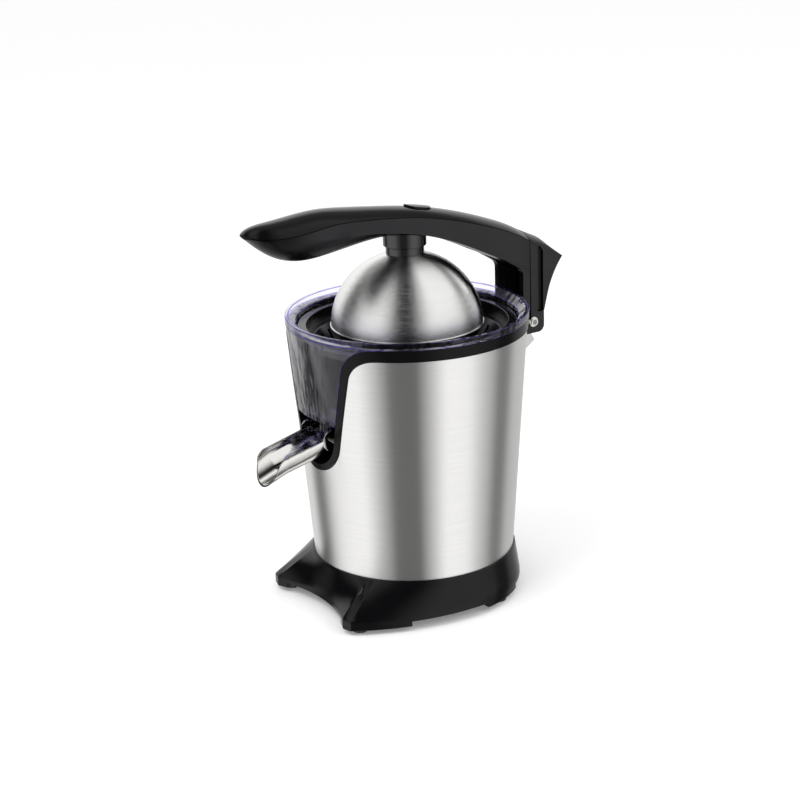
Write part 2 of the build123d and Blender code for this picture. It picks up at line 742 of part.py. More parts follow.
# Juice bowl: a bucket with a lip, a front bulge that fills the mouth, a centre tube and a nozzle
bulge_out = frame_proud - bulge_inset
with BuildPart() as juice_bowl:
    with BuildSketch(Plane.XZ):
        with BuildLine():
            Polyline(
                (bowl_tube_radius - bowl_tube_wall, bowl_bottom_z + bowl_floor_rise),
                (bowl_bottom_radius, bowl_bottom_z),
                (bowl_top_radius, bowl_seat_z),
                (bowl_rim_radius, bowl_seat_z),
                (bowl_rim_radius, bowl_rim_z),
                (bowl_rim_radius - bowl_rim_width, bowl_rim_z),
                (bowl_top_radius - bowl_wall, bowl_seat_z),
                (bowl_bottom_radius - bowl_wall, bowl_bottom_z + bowl_wall),
                (bowl_tube_radius, bowl_bottom_z + bowl_floor_rise + bowl_wall),
                (bowl_tube_radius, bowl_tube_top_z),
                (bowl_tube_radius - bowl_tube_wall, bowl_tube_top_z),
                close=True,
            )
        make_face()
        with BuildLine():
            Polyline(
                (ledge_radius - bowl_wall - ledge_width, ledge_z),
                (ledge_radius - bowl_wall / 2, ledge_z),
                (ledge_radius - bowl_wall / 2, ledge_z - ledge_height),
                (ledge_radius - bowl_wall, ledge_z - ledge_height),
                close=True,
            )
        make_face()
    revolve(axis=Axis.Z)
    bulge_reach = frame_depth + bowl_wall
    bulge_ring = taper_ring(bowl_bottom_z, bowl_seat_z, bulge_out, bulge_reach)
    plug_length = bowl_rim_radius + overrun
    bulge_plug = extrude(inner_mouth(Plane.XZ, bulge_gap), amount=plug_length, mode=Mode.PRIVATE)
    add(bulge_ring & bulge_plug)
    hollow_reach = bulge_reach + bowl_wall
    hollow_ring = taper_ring(bowl_bottom_z + bowl_wall, bowl_seat_z, bulge_out - bowl_wall, hollow_reach)
    hollow_face = inner_mouth(Plane.XZ.offset(bowl_bottom_radius - hollow_reach), bulge_gap + bowl_wall)
    hollow_plug = extrude(hollow_face, amount=bowl_rim_radius, mode=Mode.PRIVATE)
    add(hollow_ring & hollow_plug, mode=Mode.SUBTRACT)
    with BuildSketch(Plane.XY.offset(nozzle_bottom_z)):
        with Locations((0, nozzle_y)):
            Circle(nozzle_radius)
    extrude(amount=bowl_bottom_z + bowl_wall - nozzle_bottom_z)
    with BuildSketch(Plane.XY.offset(nozzle_bottom_z)):
        with Locations((0, nozzle_y)):
            Circle(nozzle_bore)
    extrude(amount=bowl_bottom_z + bowl_floor_rise - nozzle_bottom_z, mode=Mode.SUBTRACT)
juice_bowl.part.label = "juice_bowl"
export_step(juice_bowl.part, "parts/juice_bowl.step")

# Strainer basket: a stepped rim that hangs on the bowl's ledge, slotted slopes and a slotted floor
with BuildPart() as strainer:
    with BuildSketch(Plane.XZ):
        with BuildLine():
            Polyline(
                (strainer_hole_radius, strainer_floor_z),
                (strainer_foot_radius, strainer_floor_z),
                (strainer_step_radius, strainer_step_z - strainer_wall),
                (strainer_rim_radius - strainer_rim_width, strainer_step_z - strainer_wall),
                (strainer_rim_radius - strainer_rim_width, strainer_rim_z - strainer_wall),
                (strainer_rim_radius, strainer_rim_z - strainer_wall),
                (strainer_rim_radius, strainer_rim_z),
                (strainer_rim_radius - strainer_rim_width - strainer_wall, strainer_rim_z),
                (strainer_rim_radius - strainer_rim_width - strainer_wall, strainer_step_z),
                (strainer_step_radius - strainer_wall, strainer_step_z),
                (strainer_foot_radius - strainer_wall, strainer_floor_z + strainer_wall),
                (strainer_hole_radius + strainer_wall, strainer_floor_z + strainer_wall),
                (strainer_hole_radius + strainer_wall, strainer_floor_z + strainer_collar_height),
                (strainer_hole_radius, strainer_floor_z + strainer_collar_height),
                close=True,
            )
        make_face()
    revolve(axis=Axis.Z)
    slot_low_z = strainer_floor_z + strainer_wall + strainer_bridge
    slot_high_z = strainer_step_z - strainer_wall - strainer_bridge
    slot_reach = strainer_step_radius - strainer_foot_radius + overrun
    with Locations((0, 0, (slot_low_z + slot_high_z) / 2)):
        with PolarLocations((strainer_foot_radius + strainer_step_radius) / 2, strainer_slots):
            Box(slot_reach, strainer_slot_width, slot_high_z - slot_low_z, mode=Mode.SUBTRACT)
    floor_slot_end = strainer_foot_radius - strainer_wall - strainer_bridge
    with Locations((0, 0, strainer_floor_z)):
        with PolarLocations(floor_slot_end - strainer_floor_slot / 2, strainer_slots):
            Box(strainer_floor_slot, strainer_slot_width, strainer_collar_height, mode=Mode.SUBTRACT)
strainer.part.label = "strainer"
export_step(strainer.part, "parts/strainer.step")

# Reamer cone: a hollow ribbed ogive on a flange, with a hexagonal socket
cone_top_z = cone_base_z + cone_height
cone_foot_z = cone_base_z + cone_flange_thickness
cone_mid_z = (cone_foot_z + cone_top_z) / 2


def ogive(inset):
    """Half outline of the reamer, drawn in by an inset."""
    foot = cone_radius - inset
    with BuildSketch(Plane.XZ) as half:
        with BuildLine():
            Polyline((0, cone_top_z - inset), (0, cone_base_z), (foot, cone_base_z), (foot, cone_foot_z))
            ThreePointArc(
                (foot, cone_foot_z),
                (cone_radius * cone_belly_share - inset, cone_mid_z - inset / 2),
                (cone_tip_radius, cone_top_z - inset),
            )
            Line((cone_tip_radius, cone_top_z - inset), (0, cone_top_z - inset))
        make_face()
    return half.sketch


with BuildPart() as reamer_cone:
    revolve(ogive(cone_rib_depth), axis=Axis.Z)
    fin = extrude(ogive(0), amount=cone_rib_width / 2, both=True, mode=Mode.PRIVATE)
    with PolarLocations(0, cone_ribs):
        add(fin)
    with BuildSketch(Plane.XY.offset(cone_base_z)):
        Circle(cone_flange_radius)
    extrude(amount=cone_flange_thickness)
    revolve(ogive(cone_rib_depth + cone_wall), axis=Axis.Z, mode=Mode.SUBTRACT)
    core = revolve(ogive(cone_rib_depth), axis=Axis.Z, mode=Mode.PRIVATE)
    with BuildSketch(Plane.XY.offset(cone_base_z), mode=Mode.PRIVATE) as hub_plan:
        Circle(cone_hub_radius)
    add(extrude(hub_plan.sketch, amount=cone_height, mode=Mode.PRIVATE) & core)
    extrude(hub_plan.sketch, amount=-cone_hub_drop)
    with BuildSketch(Plane.XY.offset(cone_base_z - cone_hub_drop)):
        RegularPolygon(spindle_radius + seat_gap, 6)
    extrude(amount=cone_socket_depth, mode=Mode.SUBTRACT)
reamer_cone.part.label = "reamer_cone"
export_step(reamer_cone.part, "parts/reamer_cone.step")

# Spindle: a round shaft with a hexagon for the cone
with BuildPart() as spindle:
    with BuildSketch(Plane.XY.offset(spindle_bottom_z)):
        Circle(spindle_radius)
    extrude(amount=spindle_drive_z - spindle_bottom_z)
    with BuildSketch(Plane.XY.offset(spindle_drive_z)):
        RegularPolygon(spindle_radius, 6)
    extrude(amount=cone_base_z - cone_hub_drop + cone_socket_depth - spindle_drive_z - seat_gap)
spindle.part.label = "spindle"
export_step(spindle.part, "parts/spindle.step")

# Spindle bushes: one in the tower and one in the gearbox cover
tower_bush_z = tower_top_z - seal_height - tower_bush_height
cover_bush_z = cover_z
with BuildPart() as spindle_bushes:
    for low_z, height in ((tower_bush_z, tower_bush_height), (cover_bush_z, cover_bush_height)):
        with BuildSketch(Plane.XY.offset(low_z)):
            Circle(spindle_radius + bush_wall - seat_gap)
            Circle(spindle_radius + shaft_gap, mode=Mode.SUBTRACT)
        extrude(amount=height)
spindle_bushes.part.label = "spindle_bushes"
export_step(spindle_bushes.part, "parts/spindle_bushes.step")

# Lip seal in the top of the tower
with BuildPart() as spindle_seal:
    with BuildSketch(Plane.XY.offset(tower_top_z - seal_height)):
        Circle(spindle_radius + bush_wall - seat_gap)
        Circle(spindle_radius + shaft_gap, mode=Mode.SUBTRACT)
    extrude(amount=seal_height)
spindle_seal.part.label = "spindle_seal"
export_step(spindle_seal.part, "parts/spindle_seal.step")

# Output gear on the spindle: a toothed rim, a thinner web and a hub
wheel_rim = second_module * (second_wheel_teeth / 2 - gear_rim_share)
web_sink = second_face * (1 - wheel_web_share) / 2
with BuildPart() as output_gear:
    with BuildSketch(Plane.XY.offset(second_gear_z)):
        with BuildLine():
            Polyline(*gear_points(second_wheel_teeth, second_module, 0), close=True)
        make_face()
    extrude(amount=second_face)
    for low_z in (second_gear_z, second_gear_z + second_face - web_sink):
        with BuildSketch(Plane.XY.offset(low_z)):
            Circle(wheel_rim)
            Circle(wheel_hub_radius, mode=Mode.SUBTRACT)
        extrude(amount=web_sink, mode=Mode.SUBTRACT)
    with BuildSketch(Plane.XY.offset(second_gear_z)):
        Circle(wheel_hub_radius)
    extrude(amount=cover_z - second_gear_z - slide_gap)
    with BuildSketch(Plane.XY.offset(second_gear_z)):
        Circle(spindle_radius + shaft_gap)
    extrude(amount=cover_z - second_gear_z, mode=Mode.SUBTRACT)
output_gear.part.label = "output_gear"
export_step(output_gear.part, "parts/output_gear.step")

# Compound gear: a wheel driven by the motor and a long pinion that drives the output gear
pinion_top_z = cover_z - slide_gap
wheel_top_z = first_gear_z + first_face
with BuildPart() as compound_gear:
    with BuildSketch(Plane((0, axle_y, first_gear_z))):
        with BuildLine():
            Polyline(*gear_points(first_wheel_teeth, first_module, 0), close=True)
        make_face()
        Circle(axle_radius + shaft_gap, mode=Mode.SUBTRACT)
    extrude(amount=first_face)
    with BuildSketch(Plane((0, axle_y, wheel_top_z))):
        with BuildLine():
            Polyline(*gear_points(second_pinion_teeth, second_module, 1 / 2), close=True)
        make_face()
        Circle(axle_radius + shaft_gap, mode=Mode.SUBTRACT)
    extrude(amount=pinion_top_z - wheel_top_z)
compound_gear.part.label = "compound_gear"
export_step(compound_gear.part, "parts/compound_gear.step")

# Axle of the compound gear, held in the gear plate and the cover
with BuildPart() as gear_axle:
    with BuildSketch(Plane((0, axle_y, gear_plate_z))):
        Circle(axle_radius)
    extrude(amount=cover_top_z - gear_plate_z)
gear_axle.part.label = "gear_axle"
export_step(gear_axle.part, "parts/gear_axle.step")

# Gear plate: carries the motor below, the axle and the thrust cup's guide above
with BuildPart() as gear_plate:
    with BuildSketch(Plane.XY.offset(gear_plate_z)):
        Circle(gear_plate_radius)
    extrude(amount=gear_plate_thickness)
    with BuildSketch(Plane.XY.offset(core_bottom_z + core_height)):
        with Locations(*bolt_places):
            Circle(motor_post_radius)
    extrude(amount=gear_plate_z - core_bottom_z - core_height)
    with BuildSketch(Plane.XY.offset(gear_plate_top_z)):
        Circle(cup_radius + shaft_gap + guide_wall)
        Circle(cup_radius + shaft_gap, mode=Mode.SUBTRACT)
    extrude(amount=guide_height)
    with BuildSketch(Plane.XY.offset(core_bottom_z)):
        with Locations(*bolt_places):
            Circle(motor_bolt_radius + seat_gap)
        with Locations((0, motor_y)):
            Circle(motor_bush_radius + seat_gap)
        with Locations((0, axle_y)):
            Circle(axle_radius + seat_gap)
        with Locations(*rod_places):
            Circle(rod_radius + seat_gap)
    extrude(amount=gear_plate_top_z - core_bottom_z, mode=Mode.SUBTRACT)
gear_plate.part.label = "gear_plate"
export_step(gear_plate.part, "parts/gear_plate.step")

# Gearbox cover: a plate on four posts, with a seat for the spindle bush
with BuildPart() as gearbox_cover:
    with BuildSketch(Plane.XY.offset(cover_z)):
        Circle(cover_radius)
    extrude(amount=cover_thickness)
    with BuildSketch(Plane.XY.offset(gear_plate_top_z)):
        with Locations(*rod_places):
            Circle(rod_post_radius)
    extrude(amount=cover_z - gear_plate_top_z)
    with BuildSketch(Plane.XY.offset(gear_plate_top_z)):
        with Locations(*rod_places):
            Circle(rod_radius + seat_gap)
        Circle(spindle_radius + bush_wall)
        with Locations((0, axle_y)):
            Circle(axle_radius + seat_gap)
    extrude(amount=cover_top_z - gear_plate_top_z, mode=Mode.SUBTRACT)
    with BuildSketch(Plane.XY.offset(cover_z)):
        with Locations((0, well_back_y + bucket_wall + slide_gap)):
            Rectangle(2 * mouth_radius + 2 * overrun, cover_radius, align=(Align.CENTER, Align.MAX))
    extrude(amount=cover_thickness, mode=Mode.SUBTRACT)
gearbox_cover.part.label = "gearbox_cover"
export_step(gearbox_cover.part, "parts/gearbox_cover.step")

# Tie rods with a head below the bottom plate and a nut below the gear plate
rod_top_z = bucket_floor_z + bucket_floor_thickness / 2 - seat_gap
with BuildPart() as tie_rods:
    with BuildSketch(Plane.XY.offset(plate_z)):
        with Locations(*rod_places):
            Circle(rod_radius)
    extrude(amount=rod_top_z - plate_z)
    with BuildSketch(Plane.XY.offset(plate_z)):
        with Locations(*rod_places):
            Circle(rod_head_radius)
    extrude(amount=-rod_head)
    with BuildSketch(Plane.XY.offset(gear_plate_z)):
        with Locations(*rod_places):
            RegularPolygon(rod_nut_radius, 6)
    extrude(amount=-rod_nut)
tie_rods.part.label = "tie_rods"
export_step(tie_rods.part, "parts/tie_rods.step")

# Thrust cup: carries the foot of the spindle and has a tab over the switch
cup_bottom_z = spindle_bottom_z - seat_gap - cup_floor
cup_top_z = cup_bottom_z + cup_height + cup_flange
with BuildPart() as thrust_cup:
    with BuildSketch(Plane.XY.offset(cup_bottom_z)):
        Circle(cup_radius)
    extrude(amount=cup_height)
    with BuildSketch(Plane.XY.offset(cup_top_z - cup_flange)):
        Circle(cup_flange_radius)
        with Locations((cup_tab_x / 2, 0)):
            Rectangle(cup_tab_x, cup_tab_width)
    extrude(amount=cup_flange)
    with BuildSketch(Plane.XY.offset(cup_bottom_z + cup_floor)):
        Circle(spindle_radius + shaft_gap)
    extrude(amount=cup_height + cup_flange, mode=Mode.SUBTRACT)
thrust_cup.part.label = "thrust_cup"
export_step(thrust_cup.part, "parts/thrust_cup.step")

# Plunge spring under the cup, as a sleeve of its outer size
with BuildPart() as plunge_spring:
    with BuildSketch(Plane.XY.offset(gear_plate_top_z)):
        Circle(plunge_spring_radius)
        Circle(plunge_spring_radius - plunge_spring_wire, mode=Mode.SUBTRACT)
    extrude(amount=cup_bottom_z - gear_plate_top_z)
plunge_spring.part.label = "plunge_spring"
export_step(plunge_spring.part, "parts/plunge_spring.step")

# Start switch beside the guide, with the button that the cup's tab presses
switch_top_z = gear_plate_top_z + switch_height
with BuildPart() as start_switch:
    with BuildSketch(Plane.XY.offset(gear_plate_top_z)):
        with Locations((switch_x, 0)):
            Rectangle(switch_length, switch_width)
        with Locations((switch_button_x, 0)):
            Circle(switch_button_radius + slide_gap / 2, mode=Mode.SUBTRACT)
    extrude(amount=switch_height)
start_switch.part.label = "start_switch"
export_step(start_switch.part, "parts/start_switch.step")

with BuildPart() as switch_button:
    with BuildSketch(Plane.XY.offset(gear_plate_top_z + plunge_travel + slide_gap)):
        with Locations((switch_button_x, 0)):
            Circle(switch_button_radius)
    extrude(amount=cup_top_z - cup_flange - seat_gap - gear_plate_top_z - plunge_travel - slide_gap)
switch_button.part.label = "switch_button"
export_step(switch_button.part, "parts/switch_button.step")

# Armature: shaft, slotted core, windings and commutator
with BuildPart() as armature_shaft:
    with BuildSketch(Plane((0, motor_y, armature_bottom_z))):
        Circle(armature_shaft_radius)
    extrude(amount=armature_top_z - armature_bottom_z)
armature_shaft.part.label = "armature_shaft"
export_step(armature_shaft.part, "parts/armature_shaft.step")

with BuildPart() as armature_core:
    with BuildSketch(Plane((0, motor_y, core_bottom_z))):
        Circle(armature_radius)
        Circle(armature_shaft_radius + shaft_gap, mode=Mode.SUBTRACT)
        with PolarLocations(armature_radius - armature_slot_depth / 2, armature_slots):
            Rectangle(armature_slot_depth, armature_slot_width, mode=Mode.SUBTRACT)
    extrude(amount=core_height)
armature_core.part.label = "armature_core"
export_step(armature_core.part, "parts/armature_core.step")

with BuildPart() as armature_windings:
    for low_z in (core_bottom_z - winding_height, core_bottom_z + core_height):
        with BuildSketch(Plane((0, motor_y, low_z))):
            Circle(winding_radius)
            Circle(armature_shaft_radius + shaft_gap, mode=Mode.SUBTRACT)
        extrude(amount=winding_height)
    outer_edges = armature_windings.edges().filter_by(GeomType.CIRCLE).sort_by(SortBy.RADIUS)[-4:]
    fillet(outer_edges, winding_height / 3)
armature_windings.part.label = "armature_windings"
export_step(armature_windings.part, "parts/armature_windings.step")

with BuildPart() as commutator:
    with BuildSketch(Plane((0, motor_y, commutator_bottom_z))):
        Circle(commutator_radius)
        Circle(armature_shaft_radius + shaft_gap, mode=Mode.SUBTRACT)
    extrude(amount=core_bottom_z - winding_height - commutator_bottom_z)
commutator.part.label = "commutator"
export_step(commutator.part, "parts/commutator.step")

# Motor pinion on the top of the armature shaft
with BuildPart() as motor_pinion:
    with BuildSketch(Plane((0, motor_y, first_gear_z - slide_gap))):
        with BuildLine():
            Polyline(*gear_points(first_pinion_teeth, first_module, 0), close=True)
        make_face()
        Circle(armature_shaft_radius + shaft_gap, mode=Mode.SUBTRACT)
    extrude(amount=first_face + 2 * slide_gap)
motor_pinion.part.label = "motor_pinion"
export_step(motor_pinion.part, "parts/motor_pinion.step")

# Cooling fan between the motor and the gear plate
with BuildPart() as cooling_fan:
    with BuildSketch(Plane((0, motor_y, fan_bottom_z))):
        Circle(fan_radius)
        Circle(armature_shaft_radius + shaft_gap, mode=Mode.SUBTRACT)
    extrude(amount=fan_blade_thickness)
    with BuildSketch(Plane((0, motor_y, fan_bottom_z))):
        Circle(wheel_hub_radius)
        Circle(armature_shaft_radius + shaft_gap, mode=Mode.SUBTRACT)
        with PolarLocations((fan_radius + wheel_hub_radius) / 2 - fan_blade_thickness, fan_blades):
            Rectangle(fan_radius - wheel_hub_radius, fan_blade_thickness)
    extrude(amount=fan_height)
cooling_fan.part.label = "cooling_fan"
export_step(cooling_fan.part, "parts/cooling_fan.step")

# Field core with its bore and the slots that the coils pass through
coil_reach = core_height + 2 * coil_bundle
with BuildPart() as field_core:
    with BuildSketch(Plane((0, motor_y, core_bottom_z))) as core_plan:
        Rectangle(2 * core_half_width, 2 * core_half_width)
        fillet(core_plan.vertices(), core_corner)
        Circle(armature_radius + core_air_gap, mode=Mode.SUBTRACT)
        with GridLocations(2 * coil_x, 2 * coil_half_span - coil_bundle, 2, 2):
            Rectangle(coil_width + slide_gap, coil_bundle + slide_gap, mode=Mode.SUBTRACT)
        with GridLocations(2 * motor_bolt_place, 2 * motor_bolt_place, 2, 2):
            Circle(motor_bolt_radius + seat_gap, mode=Mode.SUBTRACT)
    extrude(amount=core_height)
field_core.part.label = "field_core"
export_step(field_core.part, "parts/field_core.step")

# Field coils: two upright loops through the core
with BuildPart() as field_coils:
    for side in (-1, 1):
        with BuildSketch(Plane.YZ.offset(side * coil_x - coil_width / 2)):
            with Locations((motor_y, core_bottom_z + core_height / 2)):
                RectangleRounded(2 * coil_half_span, coil_reach, coil_bundle / 2)
                Rectangle(2 * (coil_half_span - coil_bundle), core_height + slide_gap, mode=Mode.SUBTRACT)
        extrude(amount=coil_width)
field_coils.part.label = "field_coils"
export_step(field_coils.part, "parts/field_coils.step")

# Motor bridge: lower bearing bracket on four posts
bridge_top_z = bridge_bottom_z + bridge_thickness
with BuildPart() as motor_bridge:
    with BuildSketch(Plane((0, motor_y, bridge_bottom_z))) as bridge_plan:
        Rectangle(2 * (motor_bolt_place + motor_post_radius), 2 * (motor_bolt_place + motor_post_radius))
        fillet(bridge_plan.vertices(), motor_post_radius)
    extrude(amount=bridge_thickness)
    with BuildSketch(Plane((0, motor_y, bridge_top_z))):
        with GridLocations(2 * motor_bolt_place, 2 * motor_bolt_place, 2, 2):
            Circle(motor_post_radius)
    extrude(amount=core_bottom_z - bridge_top_z)
    with BuildSketch(Plane((0, motor_y, bridge_bottom_z))):
        Circle(motor_bush_radius + seat_gap)
        with GridLocations(2 * motor_bolt_place, 2 * motor_bolt_place, 2, 2):
            Circle(motor_bolt_radius + seat_gap)
    extrude(amount=core_bottom_z - bridge_bottom_z, mode=Mode.SUBTRACT)
motor_bridge.part.label = "motor_bridge"
export_step(motor_bridge.part, "parts/motor_bridge.step")

# Motor bushes: one in the bridge and one in the gear plate
with BuildPart() as motor_bushes:
    for top_z in (bridge_top_z, gear_plate_top_z - slide_gap):
        with BuildSketch(Plane((0, motor_y, top_z))):
            Circle(motor_bush_radius)
            Circle(armature_shaft_radius + shaft_gap, mode=Mode.SUBTRACT)
        extrude(amount=-bridge_thickness)
motor_bushes.part.label = "motor_bushes"
export_step(motor_bushes.part, "parts/motor_bushes.step")

# Motor bolts, from below the bridge up into the gear plate
with BuildPart() as motor_bolts:
    with BuildSketch(Plane((0, motor_y, bridge_bottom_z))):
        with GridLocations(2 * motor_bolt_place, 2 * motor_bolt_place, 2, 2):
            Circle(motor_bolt_radius)
    extrude(amount=gear_plate_top_z - bridge_bottom_z)
    with BuildSketch(Plane((0, motor_y, bridge_bottom_z))):
        with GridLocations(2 * motor_bolt_place, 2 * motor_bolt_place, 2, 2):
            RegularPolygon(motor_post_radius, 6)
    extrude(amount=-motor_bolt_radius)
motor_bolts.part.label = "motor_bolts"
export_step(motor_bolts.part, "parts/motor_bolts.step")

# Brush holders on the bridge, and the carbon brushes that run on the commutator
brush_z = commutator_bottom_z + commutator_height / 2
brush_x = commutator_radius + seat_gap + brush_length / 2
holder_half = brush_width / 2 + brush_wall
with BuildPart() as brush_holders:
    for side in (-1, 1):
        with BuildSketch(Plane.YZ.offset(side * (brush_x + brush_length / 2))):
            with Locations((motor_y, (bridge_top_z + brush_z + holder_half) / 2)):
                Rectangle(2 * holder_half, brush_z + holder_half - bridge_top_z)
            with Locations((motor_y, brush_z)):
                Rectangle(brush_width + 2 * seat_gap, brush_width + 2 * seat_gap, mode=Mode.SUBTRACT)
        extrude(amount=-side * (brush_length - brush_wall))
brush_holders.part.label = "brush_holders"
export_step(brush_holders.part, "parts/brush_holders.step")

with BuildPart() as carbon_brushes:
    for side in (-1, 1):
        with Locations((side * brush_x, motor_y, brush_z)):
            Box(brush_length, brush_width, brush_width)
carbon_brushes.part.label = "carbon_brushes"
export_step(carbon_brushes.part, "parts/carbon_brushes.step")


def trough_face(y, half_width, floor_z, top_z):
    """Cross-section of the spout, filled up to its top: a half-round floor with upright sides."""
    spring_z = floor_z + half_width
    with BuildSketch(Plane.XZ.offset(-y)) as face:
        with BuildLine():
            Line((-half_width, top_z), (-half_width, spring_z))
            ThreePointArc((-half_width, spring_z), (0, floor_z), (half_width, spring_z))
            Polyline((half_width, spring_z), (half_width, top_z), (-half_width, top_z))
        make_face()
    return face.sketch


# Spout: a half-round steel trough with a drip lip, sides that round down at the tip and two ears on stub pins
spout_inner_top_z = spout_inner_floor_z + spout_inner_depth
spout_neck_top_z = spout_neck_floor_z + spout_neck_depth
neck_length = spout_inner_y - spout_neck_y
lip_length = spout_neck_y - spout_tip_y
spout_tip_top_z = spout_neck_top_z - (spout_inner_top_z - spout_neck_top_z) * lip_length / neck_length
trough_ends = [
    (spout_inner_y, spout_inner_half_width, spout_inner_floor_z, spout_inner_top_z),
    (spout_neck_y, spout_neck_half_width, spout_neck_floor_z, spout_neck_top_z),
    (spout_tip_y, spout_tip_half_width, spout_tip_floor_z, spout_tip_top_z),
]


def past_end(end, neighbour):
    """Trough section that carries on past an end in line with its neighbour."""
    run = overrun / abs(end[0] - neighbour[0])
    return tuple(here + run * (here - there) for here, there in zip(end, neighbour))


with BuildPart() as spout:
    loft([trough_face(*end) for end in trough_ends], ruled=True)
    ear_along = spout_tail / neck_length
    ear_x = spout_inner_half_width - ear_along * (spout_inner_half_width - spout_neck_half_width)
    for side in (-1, 1):
        with BuildSketch(Plane.YZ.offset(side * ear_x)):
            with Locations((spout_pivot_y, spout_pivot_z)):
                Circle(spout_ear_radius)
        extrude(amount=-side * spout_ear_wall)
    inner, neck, tip = trough_ends
    hollow_ends = [past_end(inner, neck), neck, past_end(tip, neck)]
    loft(
        [
            trough_face(y, half_width - spout_wall, floor_z + spout_wall, top_z + 2 * overrun)
            for y, half_width, floor_z, top_z in hollow_ends
        ],
        ruled=True,
        mode=Mode.SUBTRACT,
    )
    with BuildSketch(Plane.YZ):
        with BuildLine():
            nose_y = spout_neck_y - spout_nose_radius
            nose_z = spout_neck_top_z - spout_nose_radius
            half = spout_nose_radius * sqrt(1 / 2)
            Line((spout_tip_y, spout_tip_floor_z), (nose_y, nose_z))
            ThreePointArc(
                (nose_y, nose_z), (spout_neck_y - half, nose_z + half), (spout_neck_y, spout_neck_top_z)
            )
            Polyline(
                (spout_neck_y, spout_neck_top_z),
                (spout_neck_y, spout_neck_top_z + overrun),
                (spout_tip_y - overrun, spout_neck_top_z + overrun),
                (spout_tip_y - overrun, spout_tip_floor_z),
                (spout_tip_y, spout_tip_floor_z),
            )
        make_face()
    extrude(amount=spout_inner_half_width + overrun, both=True, mode=Mode.SUBTRACT)
    with BuildSketch(Plane.YZ):
        with Locations((spout_pivot_y, spout_pivot_z)):
            Circle(spout_pin_radius + shaft_gap)
    extrude(amount=spout_inner_half_width + overrun, both=True, mode=Mode.SUBTRACT)
spout.part.label = "spout"
export_step(spout.part, "parts/spout.step")

# Stub pins that carry the spout's ears in the frame
with BuildPart() as spout_pins:
    for side in (-1, 1):
        with BuildSketch(Plane.YZ.offset(side * (inner_mouth_radius + spout_pin_seat - seat_gap))):
            with Locations((spout_pivot_y, spout_pivot_z)):
                Circle(spout_pin_radius)
        extrude(amount=-side * (inner_mouth_radius + spout_pin_seat - seat_gap - ear_x + spout_ear_wall))
spout_pins.part.label = "spout_pins"
export_step(spout_pins.part, "parts/spout_pins.step")

# Hinge bracket: seats on the shell's back and carries the pin in its barrel
bracket_half = fork_inner - slide_gap
shell_core = taper_core(shell_bottom_z, shell_top_z, seat_gap)
with BuildPart() as hinge_bracket:
    with BuildSketch(Plane.YZ.offset(-bracket_half)):
        with BuildLine():
            Polyline(
                (shell_bottom_radius, hinge_z + bracket_barrel),
                (hinge_y, hinge_z + bracket_barrel),
                (hinge_y, hinge_z - bracket_barrel),
                (bracket_heel_y, bracket_heel_z),
                (shell_radius(bracket_toe_z), bracket_toe_z),
                (shell_bottom_radius, bracket_toe_z),
                close=True,
            )
        make_face()
        with Locations((hinge_y, hinge_z)):
            Circle(bracket_barrel)
            Circle(pin_radius + shaft_gap, mode=Mode.SUBTRACT)
    extrude(amount=2 * bracket_half)
    add(shell_core, mode=Mode.SUBTRACT)
    for z in (bracket_lower_screw_z, bracket_upper_screw_z):
        with BuildSketch(Plane.XZ):
            with Locations((-bracket_screw_x, z), (bracket_screw_x, z)):
                Circle(bracket_screw_radius + seat_gap)
        extrude(amount=-shell_radius(z) - bracket_screw_depth, mode=Mode.SUBTRACT)
hinge_bracket.part.label = "hinge_bracket"
export_step(hinge_bracket.part, "parts/hinge_bracket.step")

# Bracket screws, from inside the bucket through the shell
with BuildPart() as bracket_screws:
    for z in (bracket_lower_screw_z, bracket_upper_screw_z):
        screw_start = sqrt((shell_radius(z) - bucket_gap - bucket_wall) ** 2 - bracket_screw_x**2)
        screw_end = shell_radius(z) + bracket_screw_depth - seat_gap
        with BuildSketch(Plane.XZ.offset(-screw_start)):
            with Locations((-bracket_screw_x, z), (bracket_screw_x, z)):
                Circle(bracket_screw_radius)
        extrude(amount=screw_start - screw_end)
bracket_screws.part.label = "bracket_screws"
export_step(bracket_screws.part, "parts/bracket_screws.step")

# Hinge pin and the bushes that turn on it in the fork's legs
with BuildPart() as hinge_pin:
    with BuildSketch(Plane.YZ):
        with Locations((hinge_y, hinge_z)):
            Circle(pin_radius)
    extrude(amount=fork_half_width + pin_overhang, both=True)
    chamfer(hinge_pin.edges(), pin_overhang / 2)
hinge_pin.part.label = "hinge_pin"
export_step(hinge_pin.part, "parts/hinge_pin.step")

with BuildPart() as hinge_bushes:
    for side in (-1, 1):
        with BuildSketch(Plane.YZ.offset(side * fork_inner)):
            with Locations((hinge_y, hinge_z)):
                Circle(pin_radius + shaft_gap + hinge_bush_wall)
                Circle(pin_radius + shaft_gap, mode=Mode.SUBTRACT)
        extrude(amount=side * fork_leg)
hinge_bushes.part.label = "hinge_bushes"
export_step(hinge_bushes.part, "parts/hinge_bushes.step")

# Lever stations, from the tip of the grip back to the fork
stations = []
for along, width, seam, crown, panel, belly in zip(
    along_shares, width_shares, seam_shares, crown_shares, panel_shares, belly_shares
):
    station_y = arm_rear_y - along * arm_reach
    stations.append(
        (
            station_y,
            width * grip_half_width,
            hinge_z + seam * arm_rise,
            crown * grip_crown,
            panel * arm_depth,
            belly * grip_belly,
        )
    )


def crown_face(y, half_width, seam_z, crown):
    """Cross-section of the top shell: a shallow arch over the seam."""
    with BuildSketch(Plane.XZ.offset(-y)) as face:
        with BuildLine():
            ThreePointArc((-half_width, seam_z), (0, seam_z + crown), (half_width, seam_z))
            Line((half_width, seam_z), (-half_width, seam_z))
        make_face()
    return face.sketch


